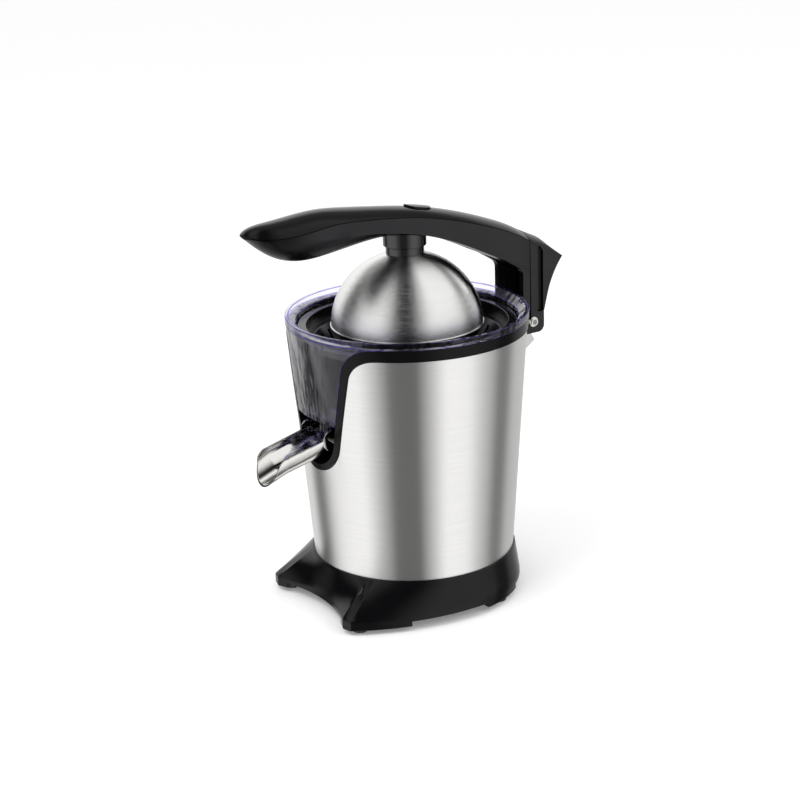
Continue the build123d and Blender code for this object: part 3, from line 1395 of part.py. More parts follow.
def belly_face(y, half_width, top_z, low_z, belly):
    """Cross-section of the lower shell: two upright panels joined by the belly's curve."""
    with BuildSketch(Plane.XZ.offset(-y)) as face:
        with BuildLine():
            Line((-half_width, top_z), (-half_width, low_z))
            ThreePointArc((-half_width, low_z), (0, low_z - belly), (half_width, low_z))
            Polyline((half_width, low_z), (half_width, top_z), (-half_width, top_z))
        make_face()
    return face.sketch


def arch_face(y, half_width, seam_z, crown, drop):
    """Cross-section with an arch on top that runs down by a drop below its springing."""
    with BuildSketch(Plane.XZ.offset(-y)) as face:
        with BuildLine():
            ThreePointArc((-half_width, seam_z), (0, seam_z + crown), (half_width, seam_z))
            Polyline(
                (half_width, seam_z),
                (half_width, seam_z - drop),
                (-half_width, seam_z - drop),
                (-half_width, seam_z),
            )
        make_face()
    return face.sketch


def seam_height(y):
    """Height of the seam at a place along the arm."""
    for front, rear in zip(stations, stations[1:]):
        if y <= rear[0]:
            return front[2] + (rear[2] - front[2]) * (y - front[0]) / (rear[0] - front[0])
    return stations[-1][2]


def bosses(form):
    """Screw bosses that reach as far as the form around them."""
    with BuildPart() as posts:
        with BuildSketch(Plane.XY.offset(hinge_z)):
            with Locations(*[(0, y) for y in lever_screw_ys]):
                Circle(lever_boss_radius)
        extrude(amount=2 * arm_rise)
    return posts.part & form


# The solid forms of the arm, and the hollows inside them
hollow_stations = stations[3:-1] + [(arm_rear_y - lever_wall, *stations[-1][1:])]
with BuildPart() as top_form:
    loft([crown_face(y, half, seam_z, crown) for y, half, seam_z, crown, panel, belly in stations])
with BuildPart() as top_hollow:
    loft(
        [
            arch_face(y, half - lever_wall, seam_z, crown - lever_wall, overrun)
            for y, half, seam_z, crown, panel, belly in hollow_stations
        ]
    )
with BuildPart() as lower_form:
    loft(
        [
            belly_face(y, half, seam_z - arm_seam, seam_z - arm_seam - panel, belly)
            for y, half, seam_z, crown, panel, belly in stations
        ]
    )
with BuildPart() as lower_hollow:
    loft(
        [
            belly_face(y, half - lever_wall, seam_z + overrun, seam_z - arm_seam - panel + lever_wall, belly)
            for y, half, seam_z, crown, panel, belly in hollow_stations
        ]
    )

# Top shell of the lever, with a slot for the release button
with BuildPart() as lever_top_shell:
    add(top_form.part)
    add(top_hollow.part, mode=Mode.SUBTRACT)
    add(bosses(top_form.part))
    with BuildSketch(Plane((0, button_y, hinge_z))):
        SlotOverall(button_length + 2 * slide_gap, button_width + 2 * slide_gap, rotation=90)
    extrude(amount=2 * arm_rise, mode=Mode.SUBTRACT)
    for y in lever_screw_ys:
        with BuildSketch(Plane((0, y, seam_height(y) - overrun))):
            Circle(lever_screw_radius + seat_gap)
        extrude(amount=overrun + lever_screw_length / 2, mode=Mode.SUBTRACT)
lever_top_shell.part.label = "lever_top_shell"
export_step(lever_top_shell.part, "parts/lever_top_shell.step")

# Lower shell of the lever: belly, side panels and the strips that turn down along the fork's legs
strip_y = arm_rear_y - leg_strip
strip_low_z = hinge_z + leg_strip_rise
bend_y, rear_y = stations[-2][0], stations[-1][0]
bend_low_z = stations[-2][2] - arm_seam - stations[-2][4]
rear_low_z = stations[-1][2] - arm_seam - stations[-1][4]
corner_z = rear_low_z + (bend_low_z - rear_low_z) * leg_strip / (rear_y - bend_y)
panel_mid_z = (rear_low_z + stations[-1][2]) / 2
fork_front_y = arm_rear_y + arm_seam
roof_edge_z = stations[-1][2]
tail_front_z = roof_edge_z + stations[-1][3]
roof_slope = (tail_brow_z - tail_front_z) / (tail_brow_y - fork_front_y)
roof_front_z = roof_edge_z - tail_roof
roof_rear_z = roof_front_z + roof_slope * (fork_rear_y - fork_front_y)
bridge_mid_z = (fork_bridge_z + roof_rear_z) / 2
with BuildPart() as lever_lower_shell:
    add(lower_form.part)
    add(lower_hollow.part, mode=Mode.SUBTRACT)
    add(bosses(lower_form.part))
    for side in (-1, 1):
        with BuildSketch(Plane.YZ.offset(side * fork_inner)):
            with BuildLine():
                FilletPolyline(
                    (strip_y, strip_low_z), (strip_y, corner_z), (bend_y, bend_low_z), radius=leg_strip_bend
                )
                Polyline(
                    (bend_y, bend_low_z),
                    (arm_rear_y, panel_mid_z),
                    (arm_rear_y, strip_low_z),
                    (strip_y, strip_low_z),
                )
            make_face()
        extrude(amount=side * fork_leg)
    with BuildSketch(Plane.XY.offset(hub_top_z)):
        Circle(collar_spigot_radius + seat_gap)
    extrude(amount=collar_top_z - hub_top_z, mode=Mode.SUBTRACT)
    for y in lever_screw_ys:
        with BuildSketch(Plane((0, y, seam_height(y) + overrun))):
            Circle(lever_screw_radius + seat_gap)
        extrude(amount=-arm_depth, mode=Mode.SUBTRACT)
        with BuildSketch(Plane((0, y, seam_height(y) - lever_screw_length / 2))):
            Circle(lever_screw_head + seat_gap)
        extrude(amount=-2 * arm_depth, mode=Mode.SUBTRACT)
    with BuildSketch(Plane.XZ.offset(-arm_rear_y - overrun)):
        with Locations((-fork_inner / 2, bridge_mid_z), (fork_inner / 2, bridge_mid_z)):
            Circle(lever_screw_radius + seat_gap)
    extrude(amount=overrun + lever_screw_length, mode=Mode.SUBTRACT)
lever_lower_shell.part.label = "lever_lower_shell"
export_step(lever_lower_shell.part, "parts/lever_lower_shell.step")

# Lever screws, sunk from below into the top shell's bosses
with BuildPart() as lever_screws:
    for y in lever_screw_ys:
        shoulder_z = seam_height(y) - lever_screw_length / 2
        with BuildSketch(Plane((0, y, shoulder_z))):
            Circle(lever_screw_radius)
        extrude(amount=lever_screw_length - seat_gap)
        with BuildSketch(Plane((0, y, shoulder_z))):
            Circle(lever_screw_head)
        extrude(amount=-lever_screw_radius)
lever_screws.part.label = "lever_screws"
export_step(lever_screws.part, "parts/lever_screws.step")

# Lever fork: two legs with a shoe at the hinge, and a bridge between them
shoe_top_z = tail_foot_z - seat_gap
with BuildPart() as leg_grooves:
    for side in (-1, 1):
        with BuildSketch(Plane.YZ.offset(side * (fork_half_width + overrun))):
            with BuildLine():
                Polyline(
                    (hinge_y + groove_front_out, hinge_z + groove_low_rise),
                    (hinge_y + groove_front_out, hinge_z + groove_front_rise),
                    (hinge_y + groove_peak_out, hinge_z + groove_peak_rise),
                    (hinge_y + groove_rear_out, hinge_z + groove_rear_rise),
                    (hinge_y + groove_rear_out, hinge_z + groove_low_rise),
                    close=True,
                )
            make_face()
        extrude(amount=-side * (overrun + groove_depth))
with BuildPart() as lever_fork:
    for side in (-1, 1):
        with BuildSketch(Plane.YZ.offset(side * fork_inner)) as leg_face:
            with BuildLine():
                Polyline(
                    (fork_front_y, hinge_z),
                    (fork_front_y, roof_front_z - seat_gap),
                    (fork_rear_y, roof_rear_z - seat_gap),
                    (fork_rear_y, shoe_top_z),
                    (hinge_y + shoe_rear_out, shoe_top_z),
                    (hinge_y + shoe_rear_out, hinge_z - shoe_drop),
                    (hinge_y - shoe_front_set, hinge_z - shoe_drop),
                    close=True,
                )
            make_face()
            fillet(leg_face.vertices().group_by(Axis.Y)[0].sort_by(Axis.X)[-1], shoe_corner)
            with Locations((hinge_y, hinge_z)):
                Circle(pin_radius + shaft_gap + hinge_bush_wall + seat_gap, mode=Mode.SUBTRACT)
        extrude(amount=side * fork_leg)
    with BuildSketch(Plane.YZ.offset(-fork_inner)):
        with BuildLine():
            Polyline(
                (fork_front_y, fork_bridge_z),
                (fork_front_y, roof_front_z - seat_gap),
                (fork_rear_y, roof_rear_z - seat_gap),
                (fork_rear_y, fork_bridge_z),
                close=True,
            )
        make_face()
    extrude(amount=2 * fork_inner)
    with BuildSketch(Plane.XZ.offset(-fork_rear_y)):
        with Locations((-fork_inner / 2, bridge_mid_z), (fork_inner / 2, bridge_mid_z)):
            Circle(lever_screw_radius + seat_gap)
    extrude(amount=fork_rear_y - fork_front_y, mode=Mode.SUBTRACT)
    add(leg_grooves.part, mode=Mode.SUBTRACT)
lever_fork.part.label = "lever_fork"
export_step(lever_fork.part, "parts/lever_fork.step")

# Fork screws, from behind the bridge into the lower shell
with BuildPart() as fork_screws:
    with BuildSketch(Plane.XZ.offset(-fork_rear_y)):
        with Locations((-fork_inner / 2, bridge_mid_z), (fork_inner / 2, bridge_mid_z)):
            Circle(lever_screw_radius)
    extrude(amount=fork_rear_y - arm_rear_y + lever_wall)
fork_screws.part.label = "fork_screws"
export_step(fork_screws.part, "parts/fork_screws.step")

# Back cover of the lever: an arched roof that carries the top shell on, a tail and the web behind the legs
cover_y = fork_rear_y + seat_gap
cover_front_y = fork_front_y - overrun
tail_end_z = tail_tip_z + tail_tip_blunt
tail_slope = (tail_end_z - tail_brow_z) / (tail_tip_y - tail_brow_y)
tail_stations = [
    (fork_front_y, roof_edge_z, stations[-1][3]),
    (tail_brow_y, tail_brow_z - tail_brow_crown, tail_brow_crown),
    (tail_tip_y + overrun, tail_end_z + tail_slope * overrun - tail_tip_crown, tail_tip_crown),
]
with BuildPart() as tail_side:
    with BuildSketch(Plane.YZ):
        with BuildLine():
            Polyline(
                (tail_waist_y, tail_waist_z),
                (tail_foot_y, tail_foot_z),
                (cover_y, tail_foot_z),
                (cover_y, roof_front_z + roof_slope * (cover_y - fork_front_y)),
                (cover_front_y, roof_front_z + roof_slope * (cover_front_y - fork_front_y)),
                (cover_front_y, tail_front_z + overrun),
                (tail_tip_y, tail_front_z + overrun),
                (tail_tip_y, tail_tip_z),
            )
            ThreePointArc((tail_tip_y, tail_tip_z), (tail_sag_y, tail_sag_z), (tail_waist_y, tail_waist_z))
        make_face()
    extrude(amount=fork_half_width + overrun, both=True)
with BuildPart() as lever_back_cover:
    loft(
        [arch_face(y, fork_half_width, edge_z, crown, arm_rise) for y, edge_z, crown in tail_stations],
        ruled=True,
    )
    add(tail_side.part, mode=Mode.INTERSECT)
    add(leg_grooves.part, mode=Mode.SUBTRACT)
lever_back_cover.part.label = "lever_back_cover"
export_step(lever_back_cover.part, "parts/lever_back_cover.step")


def dome_half(grow):
    """Half outline of the dome's ellipsoid, grown by a distance."""
    with BuildSketch(Plane.XZ) as half:
        with BuildLine():
            size = (dome_radius + grow, dome_height + grow)
            EllipticalCenterArc((0, dome_base_z), *size, start_angle=0, arc_size=quarter_turn)
            crown_z = dome_base_z + dome_height + grow
            Polyline((0, crown_z), (0, dome_base_z), (dome_radius + grow, dome_base_z))
        make_face()
    return half.sketch


# Press dome: a spun steel half-egg with a rolled lip
with BuildPart() as press_dome:
    revolve(dome_half(0), axis=Axis.Z)
    with BuildSketch(Plane.XY.offset(dome_base_z)):
        Circle(dome_radius + dome_lip)
    extrude(amount=dome_lip)
    fillet(press_dome.edges().filter_by(GeomType.CIRCLE).sort_by(SortBy.RADIUS)[-2:], dome_lip / 3)
    revolve(dome_half(-dome_wall), axis=Axis.Z, mode=Mode.SUBTRACT)
    with BuildSketch(Plane.XY.offset(dome_base_z)):
        Circle(dome_hole_radius)
    extrude(amount=dome_height, mode=Mode.SUBTRACT)
press_dome.part.label = "press_dome"
export_step(press_dome.part, "parts/press_dome.step")

# Dome hub: a ring that sits on the dome, a stud into the collar and a boss down through the dome
nut_out = dome_nut_radius / (dome_radius - dome_wall)
nut_top_z = dome_base_z - seat_gap + (dome_height - dome_wall) * sqrt(1 - nut_out**2)
with BuildPart() as dome_hub:
    with BuildSketch(Plane.XY.offset(nut_top_z - dome_nut_height)):
        Circle(hub_radius)
    extrude(amount=hub_top_z - nut_top_z + dome_nut_height)
    revolve(dome_half(seat_gap), axis=Axis.Z, mode=Mode.SUBTRACT)
    with BuildSketch(Plane.XY.offset(nut_top_z - dome_nut_height)):
        Circle(dome_hole_radius - seat_gap)
    extrude(amount=hub_top_z - nut_top_z + dome_nut_height)
    with BuildSketch(Plane.XY.offset(hub_top_z)):
        Circle(hub_stud_radius)
    extrude(amount=hub_stud_rise)
dome_hub.part.label = "dome_hub"
export_step(dome_hub.part, "parts/dome_hub.step")

# Nut that clamps the dome to the hub from inside
with BuildPart() as dome_nut:
    with BuildSketch(Plane.XY.offset(nut_top_z)):
        RegularPolygon(dome_nut_radius, 6)
        Circle(dome_hole_radius, mode=Mode.SUBTRACT)
    extrude(amount=-dome_nut_height)
dome_nut.part.label = "dome_nut"
export_step(dome_nut.part, "parts/dome_nut.step")

# Dome collar: fits the arm's underside and guides the stud and the button's stem
collar_z = hub_top_z + collar_gap
with BuildPart() as dome_collar:
    with BuildSketch(Plane.XY.offset(collar_z)):
        Circle(collar_radius)
    extrude(amount=collar_top_z - collar_z)
    add(lower_form.part.moved(Location((0, 0, -seat_gap))), mode=Mode.SUBTRACT)
    with BuildSketch(Plane.XY.offset(collar_z)):
        Circle(collar_spigot_radius)
    extrude(amount=collar_top_z - collar_z)
    with BuildSketch(Plane.XY.offset(collar_z)):
        Circle(hub_stud_radius + collar_gap)
    extrude(amount=collar_bore_top_z - collar_z, mode=Mode.SUBTRACT)
    with BuildSketch(Plane.XY.offset(collar_z)):
        with Locations((0, button_stem_y)):
            Circle(button_stem_radius + shaft_gap)
    extrude(amount=collar_top_z - collar_z, mode=Mode.SUBTRACT)
dome_collar.part.label = "dome_collar"
export_step(dome_collar.part, "parts/dome_collar.step")

# Release button: a slug of the lever's crown that stands proud, on a stem above the stud
stem_bottom_z = hub_top_z + hub_stud_rise + button_travel + slide_gap
with BuildPart() as release_button:
    with BuildSketch(Plane((0, button_y, hinge_z))):
        SlotOverall(button_length, button_width, rotation=90)
    extrude(amount=2 * arm_rise)
    add(top_form.part.moved(Location((0, 0, button_proud))), mode=Mode.INTERSECT)
    with BuildSketch(Plane((0, button_stem_y, stem_bottom_z))):
        Circle(button_stem_radius)
    extrude(amount=seam_height(button_stem_y) + grip_crown / 3 - stem_bottom_z)
release_button.part.label = "release_button"
export_step(release_button.part, "parts/release_button.step")

# Button spring round the stem, as a sleeve of its outer size
spring_top_z = seam_height(button_stem_y + button_spring_radius) + button_proud - seat_gap
with BuildPart() as button_spring:
    with BuildSketch(Plane((0, button_stem_y, collar_top_z))):
        Circle(button_spring_radius)
        Circle(button_spring_radius - button_spring_wire, mode=Mode.SUBTRACT)
    extrude(amount=spring_top_z - collar_top_z)
button_spring.part.label = "button_spring"
export_step(button_spring.part, "parts/button_spring.step")
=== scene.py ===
# %% [markdown]
# A lever citrus juicer
#
# The packed model already holds every piece at its real size, in metres, with the spindle on the Z axis and
# the spout towards -Y. This notebook gives those pieces their finishes, adds the detail that belongs to the
# looks, and lights the whole like a catalogue picture.

# %% Load the fixed frame
import json
from math import cos, radians, sin

import bpy
from mathutils import Matrix, Vector


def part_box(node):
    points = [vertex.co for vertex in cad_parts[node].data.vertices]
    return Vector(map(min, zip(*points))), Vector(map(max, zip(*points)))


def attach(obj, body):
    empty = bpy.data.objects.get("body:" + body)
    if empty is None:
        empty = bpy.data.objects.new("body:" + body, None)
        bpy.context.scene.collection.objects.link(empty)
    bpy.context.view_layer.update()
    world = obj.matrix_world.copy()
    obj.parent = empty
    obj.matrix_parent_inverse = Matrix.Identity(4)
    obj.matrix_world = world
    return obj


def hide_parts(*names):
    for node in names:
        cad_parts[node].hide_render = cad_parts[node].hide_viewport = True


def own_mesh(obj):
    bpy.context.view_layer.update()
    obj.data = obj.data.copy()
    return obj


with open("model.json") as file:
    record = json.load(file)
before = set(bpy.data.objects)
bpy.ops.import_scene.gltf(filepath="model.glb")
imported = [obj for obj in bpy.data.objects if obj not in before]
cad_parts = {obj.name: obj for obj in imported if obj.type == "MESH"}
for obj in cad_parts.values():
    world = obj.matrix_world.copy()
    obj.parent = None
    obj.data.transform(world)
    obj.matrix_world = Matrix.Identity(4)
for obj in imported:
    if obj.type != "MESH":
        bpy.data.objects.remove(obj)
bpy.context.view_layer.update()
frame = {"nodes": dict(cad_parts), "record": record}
nodes = frame["nodes"]
scene = bpy.context.scene
mm = 0.001


def in_mm(point):
    """A point in millimetres, rounded for printing."""
    return [round(x / mm, 1) for x in point]


# %% [markdown]
# The camera
#
# The camera was solved from the ellipses of the bowl's rim, the dome and the foot of the steel: it stands a
# little over a metre away, looks down by about nineteen degrees and is tilted by two. A camera matrix is
# built from its three axes, because a roll is easier to read there than in Euler angles.

# %% Camera
view_azimuth = radians(56.83)
view_elevation = radians(18.66)
view_roll = radians(-1.91)
view_distance = 1.2218
view_height = 0.1384
view_aside = -0.0068
photo_pixels = 800
lens_pixels = 1728
sensor_mm = 36


def direction_at(azimuth, elevation):
    """The unit vector towards an azimuth, counted from the spout's side, and an elevation."""
    level = cos(elevation)
    return Vector((sin(azimuth) * level, -cos(azimuth) * level, sin(elevation)))


view_back = direction_at(view_azimuth, view_elevation)
level_right = Vector((cos(view_azimuth), sin(view_azimuth), 0))
level_up = view_back.cross(level_right)
view_right = level_right * cos(view_roll) + level_up * sin(view_roll)
view_up = level_up * cos(view_roll) - level_right * sin(view_roll)
view_centre = Vector((0, 0, view_height))
camera_data = bpy.data.cameras.new("camera")
camera_data.sensor_width = sensor_mm
camera_data.lens = sensor_mm * lens_pixels / photo_pixels
camera = bpy.data.objects.new("camera", camera_data)
camera_turn = Matrix((view_right, view_up, view_back)).transposed().to_4x4()
camera_place = view_back * view_distance + level_right * view_aside + view_centre
camera.matrix_world = Matrix.Translation(camera_place) @ camera_turn
scene.collection.objects.link(camera)
scene.camera = camera
print("lens", round(camera_data.lens, 2), "mm at", in_mm(camera_place))

# %% [markdown]
# Writing shader maths
#
# A node tree is hard to read as a list of links. One small class wraps a socket, so that a mask can be
# written as a sum or a product, and one method adds any other node with its settings and its inputs.


# %% Wires
class Wire:
    """A socket in a node tree. Arithmetic on wires adds Math nodes."""

    def __init__(self, tree, socket=None):
        self.tree = tree
        self.socket = socket

    def node(self, kind, settings=None, sockets=None, output=0):
        """Adds a node, sets it up, fills its inputs with values or wires, and gives one output as a wire."""
        made = self.tree.nodes.new("ShaderNode" + kind)
        for name, value in (settings or {}).items():
            if name == "stops":
                ramp = made.color_ramp
                while len(ramp.elements) < len(value):
                    ramp.elements.new(1)
                for element, (place, colour) in zip(ramp.elements, value):
                    element.position = place
                    element.color = (*colour, 1)
            elif name == "softness":
                made.color_ramp.interpolation = value
            else:
                setattr(made, name, value)
        for name, value in (sockets or {}).items():
            if isinstance(value, Wire):
                self.tree.links.new(value.socket, made.inputs[name])
            else:
                made.inputs[name].default_value = value
        return Wire(self.tree, made.outputs[output])

    def math(self, operation, *values):
        """One Math node on this wire and the given values."""
        inputs = dict(enumerate((self, *values)))
        return self.node("Math", {"operation": operation}, inputs)

    def __add__(self, other):
        return self.math("ADD", other)

    __radd__ = __add__

    def __mul__(self, other):
        return self.math("MULTIPLY", other)

    __rmul__ = __mul__

    def __sub__(self, other):
        return self.math("SUBTRACT", other)

    def __rsub__(self, other):
        return self.node("Math", {"operation": "SUBTRACT"}, {0: other, 1: self})

    def __truediv__(self, other):
        return self.math("DIVIDE", other)

    def __rtruediv__(self, other):
        return self.node("Math", {"operation": "DIVIDE"}, {0: other, 1: self})


print("a wire takes + - * / and", [name for name in vars(Wire) if not name.startswith("_")])

# %% [markdown]
# A workbench for finishes
#
# Every finish needs the same few steps: an empty material, noise at some scale, a colour between two
# others, a soft step and a bump. Each is one helper, so that the recipes below hold only what makes them
# different.

# %% Helpers for finishes
mix_factor, mix_first, mix_second, mix_result = 0, 6, 7, 2  # where a Mix node has its colour sockets


def new_finish(name):
    """An empty material, its tree's first wire and its shader node."""
    material = bpy.data.materials.new(name)
    material.use_nodes = True
    tree = material.node_tree
    return material, Wire(tree), tree.nodes["Principled BSDF"]


def feed(wire, shader, name):
    """Links a wire to an input of the shader."""
    wire.tree.links.new(wire.socket, shader.inputs[name])


def axes_of(wire, vector):
    """The three parts of a vector, as wires."""
    parts = wire.node("SeparateXYZ", None, {"Vector": vector}).socket.node.outputs
    return [Wire(wire.tree, part) for part in parts]


def object_place(wire):
    """The place on the object, in metres."""
    return wire.node("TexCoord", output="Object")


def noise(wire, scale, detail, stretch=(1, 1, 1)):
    """Soft noise from 0 to 1, stretched along the axes."""
    point = wire.node("Mapping", None, {"Vector": object_place(wire), "Scale": stretch})
    return wire.node("TexNoise", None, {"Vector": point, "Scale": scale, "Detail": detail})


def tint(wire, factor, first, second):
    """A colour between two, by a factor. Each colour is a wire or three numbers."""
    first, second = (x if isinstance(x, Wire) else (*x, 1) for x in (first, second))
    sockets = {mix_factor: factor, mix_first: first, mix_second: second}
    return wire.node("Mix", {"data_type": "RGBA"}, sockets, mix_result)


def slope(wire, start, end):
    """A soft step from 0 to 1."""
    sockets = {"Value": wire, "From Min": start, "From Max": end}
    return wire.node("MapRange", {"interpolation_type": "SMOOTHSTEP"}, sockets)


def bump(wire, height, depth, strength=1.0):
    """A normal bent by a height."""
    return wire.node("Bump", None, {"Height": height, "Strength": strength, "Distance": depth})


print("helpers", [f.__name__ for f in (new_finish, feed, axes_of, object_place, noise, tint, slope, bump)])

# %% [markdown]
# Brushed steel
#
# The housing and the dome are brushed round their axis. Each scratch is a tiny half-pipe, so it throws
# light up and down but hardly sideways, and the studio shows as upright bands on both. The shader's own
# anisotropy does that when it is turned all the way up. The scratches are noise drawn out round the axis.
# Across them it has to change along the wall and along the dome's curve alike, so it is read at the height
# less the radius, which grows along both. It moves the colour, the roughness and the normal by very little.
# The dome's scratches are finer and deeper, which spreads the light further along its curve.

# %% Brushed steel
coarse_share, fine_share = 0.3, 0.7
coarse_length, coarse_count = 9, 900  # scratches per metre, round the axis and across
fine_length = 40
steel_dull = (0.83, 0.824, 0.812)
steel_bright = (0.99, 0.985, 0.975)
cloud_scale = 18.0
across_the_brush = 0.25  # of a turn


def scratches(wire, length, count, detail):
    """Noise drawn out round the Z axis: a few scratches per metre of circle, many per metre of profile."""
    x, y, z = axes_of(wire, object_place(wire))
    profile = z - (x * x + y * y).math("SQRT")
    point = wire.node("CombineXYZ", None, {"X": x * length, "Y": y * length, "Z": profile * count})
    return wire.node("TexNoise", None, {"Vector": point, "Scale": 1.0, "Detail": detail})


def make_brushed_steel(name, roughness, count, depth):
    """Steel brushed round the Z axis, with a count of fine scratches per metre and their depth."""
    material, wire, shader = new_finish(name)
    coarse = scratches(wire, coarse_length, coarse_count, detail=4.0)
    fine = scratches(wire, fine_length, count, detail=2.0)
    cloud = noise(wire, cloud_scale, detail=2.0)
    brush = coarse * coarse_share + fine * fine_share
    feed(tint(wire, brush, steel_dull, steel_bright), shader, "Base Color")
    feed(brush * 0.05 + cloud * 0.03 + roughness, shader, "Roughness")
    feed(bump(wire, fine, depth), shader, "Normal")
    shader.inputs["Metallic"].default_value = 1.0
    shader.inputs["Anisotropic"].default_value = 1.0
    shader.inputs["Anisotropic Rotation"].default_value = across_the_brush
    return material


brushed_steel = make_brushed_steel("brushed_steel", roughness=0.205, count=2600, depth=0.02 * mm)
dome_steel = make_brushed_steel("dome_steel", roughness=0.21, count=5200, depth=0.06 * mm)
print("brushed", brushed_steel.name, dome_steel.name)

# %% [markdown]
# Plain metals
#
# The spout and the pins are polished, the bracket is a cast alloy, and the motor holds steel, copper and
# bronze. They share one recipe: a metal whose colour and roughness drift in soft smears, under a grain that
# is too fine to be seen by itself. Only the colour and the roughness tell them apart.

# %% Plain metals
smear_scale = 140.0
metal_grain_scale = 2400.0
metal_grain_depth = 0.1 * mm
smear_darkness = 0.92


def make_metal(name, colour, roughness):
    """A bare metal with soft smears."""
    material, wire, shader = new_finish(name)
    smear = noise(wire, smear_scale, detail=4.0)
    grain = noise(wire, metal_grain_scale, detail=2.0)
    dull = [smear_darkness * x for x in colour]
    feed(tint(wire, smear, dull, colour), shader, "Base Color")
    feed(smear * 0.06 + roughness, shader, "Roughness")
    feed(bump(wire, grain, metal_grain_depth, strength=0.04), shader, "Normal")
    shader.inputs["Metallic"].default_value = 1.0
    return material


polished_steel = make_metal("polished_steel", (0.90, 0.885, 0.86), roughness=0.05)
bracket_alloy = make_metal("bracket_alloy", (0.82, 0.81, 0.79), roughness=0.34)
lamination_steel = make_metal("lamination_steel", (0.36, 0.36, 0.38), roughness=0.42)
copper = make_metal("copper", (0.72, 0.42, 0.26), roughness=0.32)
bronze = make_metal("bronze", (0.64, 0.49, 0.28), roughness=0.38)
print("metals", [m.name for m in (polished_steel, bracket_alloy, lamination_steel, copper, bronze)])

# %% [markdown]
# Plastics and rubber
#
# Black mouldings are nearly all reflection: what is seen in them is the studio, a few percent bright. They
# are never perfectly flat, so a weak, slow ripple keeps the reflections from looking cut out. The same
# recipe, rougher and with a stronger grain, gives the inner mouldings, the gears, the rubber and the
# brushes.

# %% Plastic finishes
ripple_scale = 60.0
moulding_depth = 0.4 * mm
moulded_black = (0.0025, 0.0025, 0.003)
basket_black = (0.004, 0.004, 0.005)
inner_black = (0.008, 0.008, 0.009)
gear_white = (0.78, 0.77, 0.72)
rubber_black = (0.012, 0.012, 0.012)
carbon_grey = (0.03, 0.03, 0.03)


def make_plastic(name, colour, roughness, shine, ripple=0.10, grain_scale=2600.0, grain=0.003):
    """A moulded surface, by its shine, its ripple, and the scale and strength of its grain."""
    material, wire, shader = new_finish(name)
    slow = noise(wire, ripple_scale, detail=2.0)
    fine = noise(wire, grain_scale, detail=3.0)
    pale = [1.25 * x + 0.001 for x in colour]
    feed(tint(wire, slow, colour, pale), shader, "Base Color")
    feed(slow * 0.05 + fine * 0.04 + roughness, shader, "Roughness")
    feed(bump(wire, slow * ripple + fine * grain, moulding_depth), shader, "Normal")
    shader.inputs["Specular IOR Level"].default_value = shine
    return material


black_gloss = make_plastic("black_gloss", moulded_black, 0.06, shine=0.16)
base_gloss = make_plastic("base_gloss", moulded_black, 0.07, shine=0.26, ripple=0.15)
hub_gloss = make_plastic("hub_gloss", moulded_black, 0.05, shine=0.9)
basket_gloss = make_plastic("basket_gloss", basket_black, 0.12, shine=0.50, ripple=0.20, grain=0.006)
dark_plastic = make_plastic("dark_plastic", inner_black, 0.24, shine=0.35, grain=0.03)
nylon = make_plastic("nylon", gear_white, 0.40, shine=0.5, grain_scale=1800.0, grain=0.05)
rubber = make_plastic("rubber", rubber_black, 0.65, shine=0.3, ripple=0.05, grain_scale=1400.0, grain=0.20)
carbon = make_plastic("carbon", carbon_grey, 0.55, shine=0.4, ripple=0.05, grain_scale=2200.0, grain=0.20)
print("gloss", [m.name for m in (black_gloss, base_gloss, hub_gloss, basket_gloss)])
print("plain", [m.name for m in (dark_plastic, nylon, rubber, carbon)])

# %% [markdown]
# Satin panels on the lever
#
# The lower shell and the fork are one moulding colour with two surfaces: the upright side panels are finely
# grained and catch the side light, while the belly under the grip is smooth. On top of that the base colour
# is painted a little lighter on the panels and darker, almost black, on the belly: painted light and shade.
# A panel is where the normal points sideways, so the mask is the size of the normal's X, and it fades out
# towards the grip. The grain's sheen is a coat, because a coat's weight may change over a surface.

# %% Satin finish
sideways_start, sideways_full = 0.62, 0.9
panel_start, panel_full = -0.105, -0.075  # along Y, from the grip to the arm
# painted shade on the belly and painted light on the upright panels, chosen by the normal's direction
belly_painted_shade = (0.0030, 0.0024, 0.0024)
panel_painted_light = (0.0085, 0.009, 0.0105)
panel_ripple_scale = 50.0
panel_grain_scale = 2800.0


def make_panel_satin():
    """The lever's black, smooth under the grip and satin on the upright panels, with painted light on the
    panels and painted shade on the belly.
    """
    material, wire, shader = new_finish("panel_satin")
    sideways = axes_of(wire, wire.node("TexCoord", output="Normal"))[0].math("ABSOLUTE")
    along = axes_of(wire, object_place(wire))[1]
    panel = slope(sideways, sideways_start, sideways_full) * slope(along, panel_start, panel_full)
    slow = noise(wire, panel_ripple_scale, detail=2.0)
    fine = noise(wire, panel_grain_scale, detail=3.0)
    # painted light and shade: a lighter base colour on the sideways panels, a darker one on the belly
    feed(tint(wire, panel, belly_painted_shade, panel_painted_light), shader, "Base Color")
    feed(slow * 0.06 + panel * 0.16 + 0.2, shader, "Roughness")
    feed(panel * (0.42 + slow * 0.2), shader, "Coat Weight")
    feed(bump(wire, slow * 0.08 + fine * 0.05, moulding_depth), shader, "Normal")
    shader.inputs["Specular IOR Level"].default_value = 0.12
    shader.inputs["Coat Roughness"].default_value = 0.32
    return material


panel_satin = make_panel_satin()
print("satin", panel_satin.name)

# %% [markdown]
# Clear plastic
#
# The bowl's walls are thin and clear, so light goes straight through them: a transparent shader with a
# trace of violet, and a mirror on top that grows towards grazing angles, as the cube of Layer Weight's
# facing. A moulded wall has slow waves, and they break what the mirror shows into streaks. Along the edges
# one looks down the length of the plastic, and there its violet shows, so the rounded edges have a finish
# of their own.

# %% Clear finishes
wave_scale = 60.0
wave_stretch = (1, 1, 0.4)
wave_depth = 4 * mm
grazing_mirror = 0.8


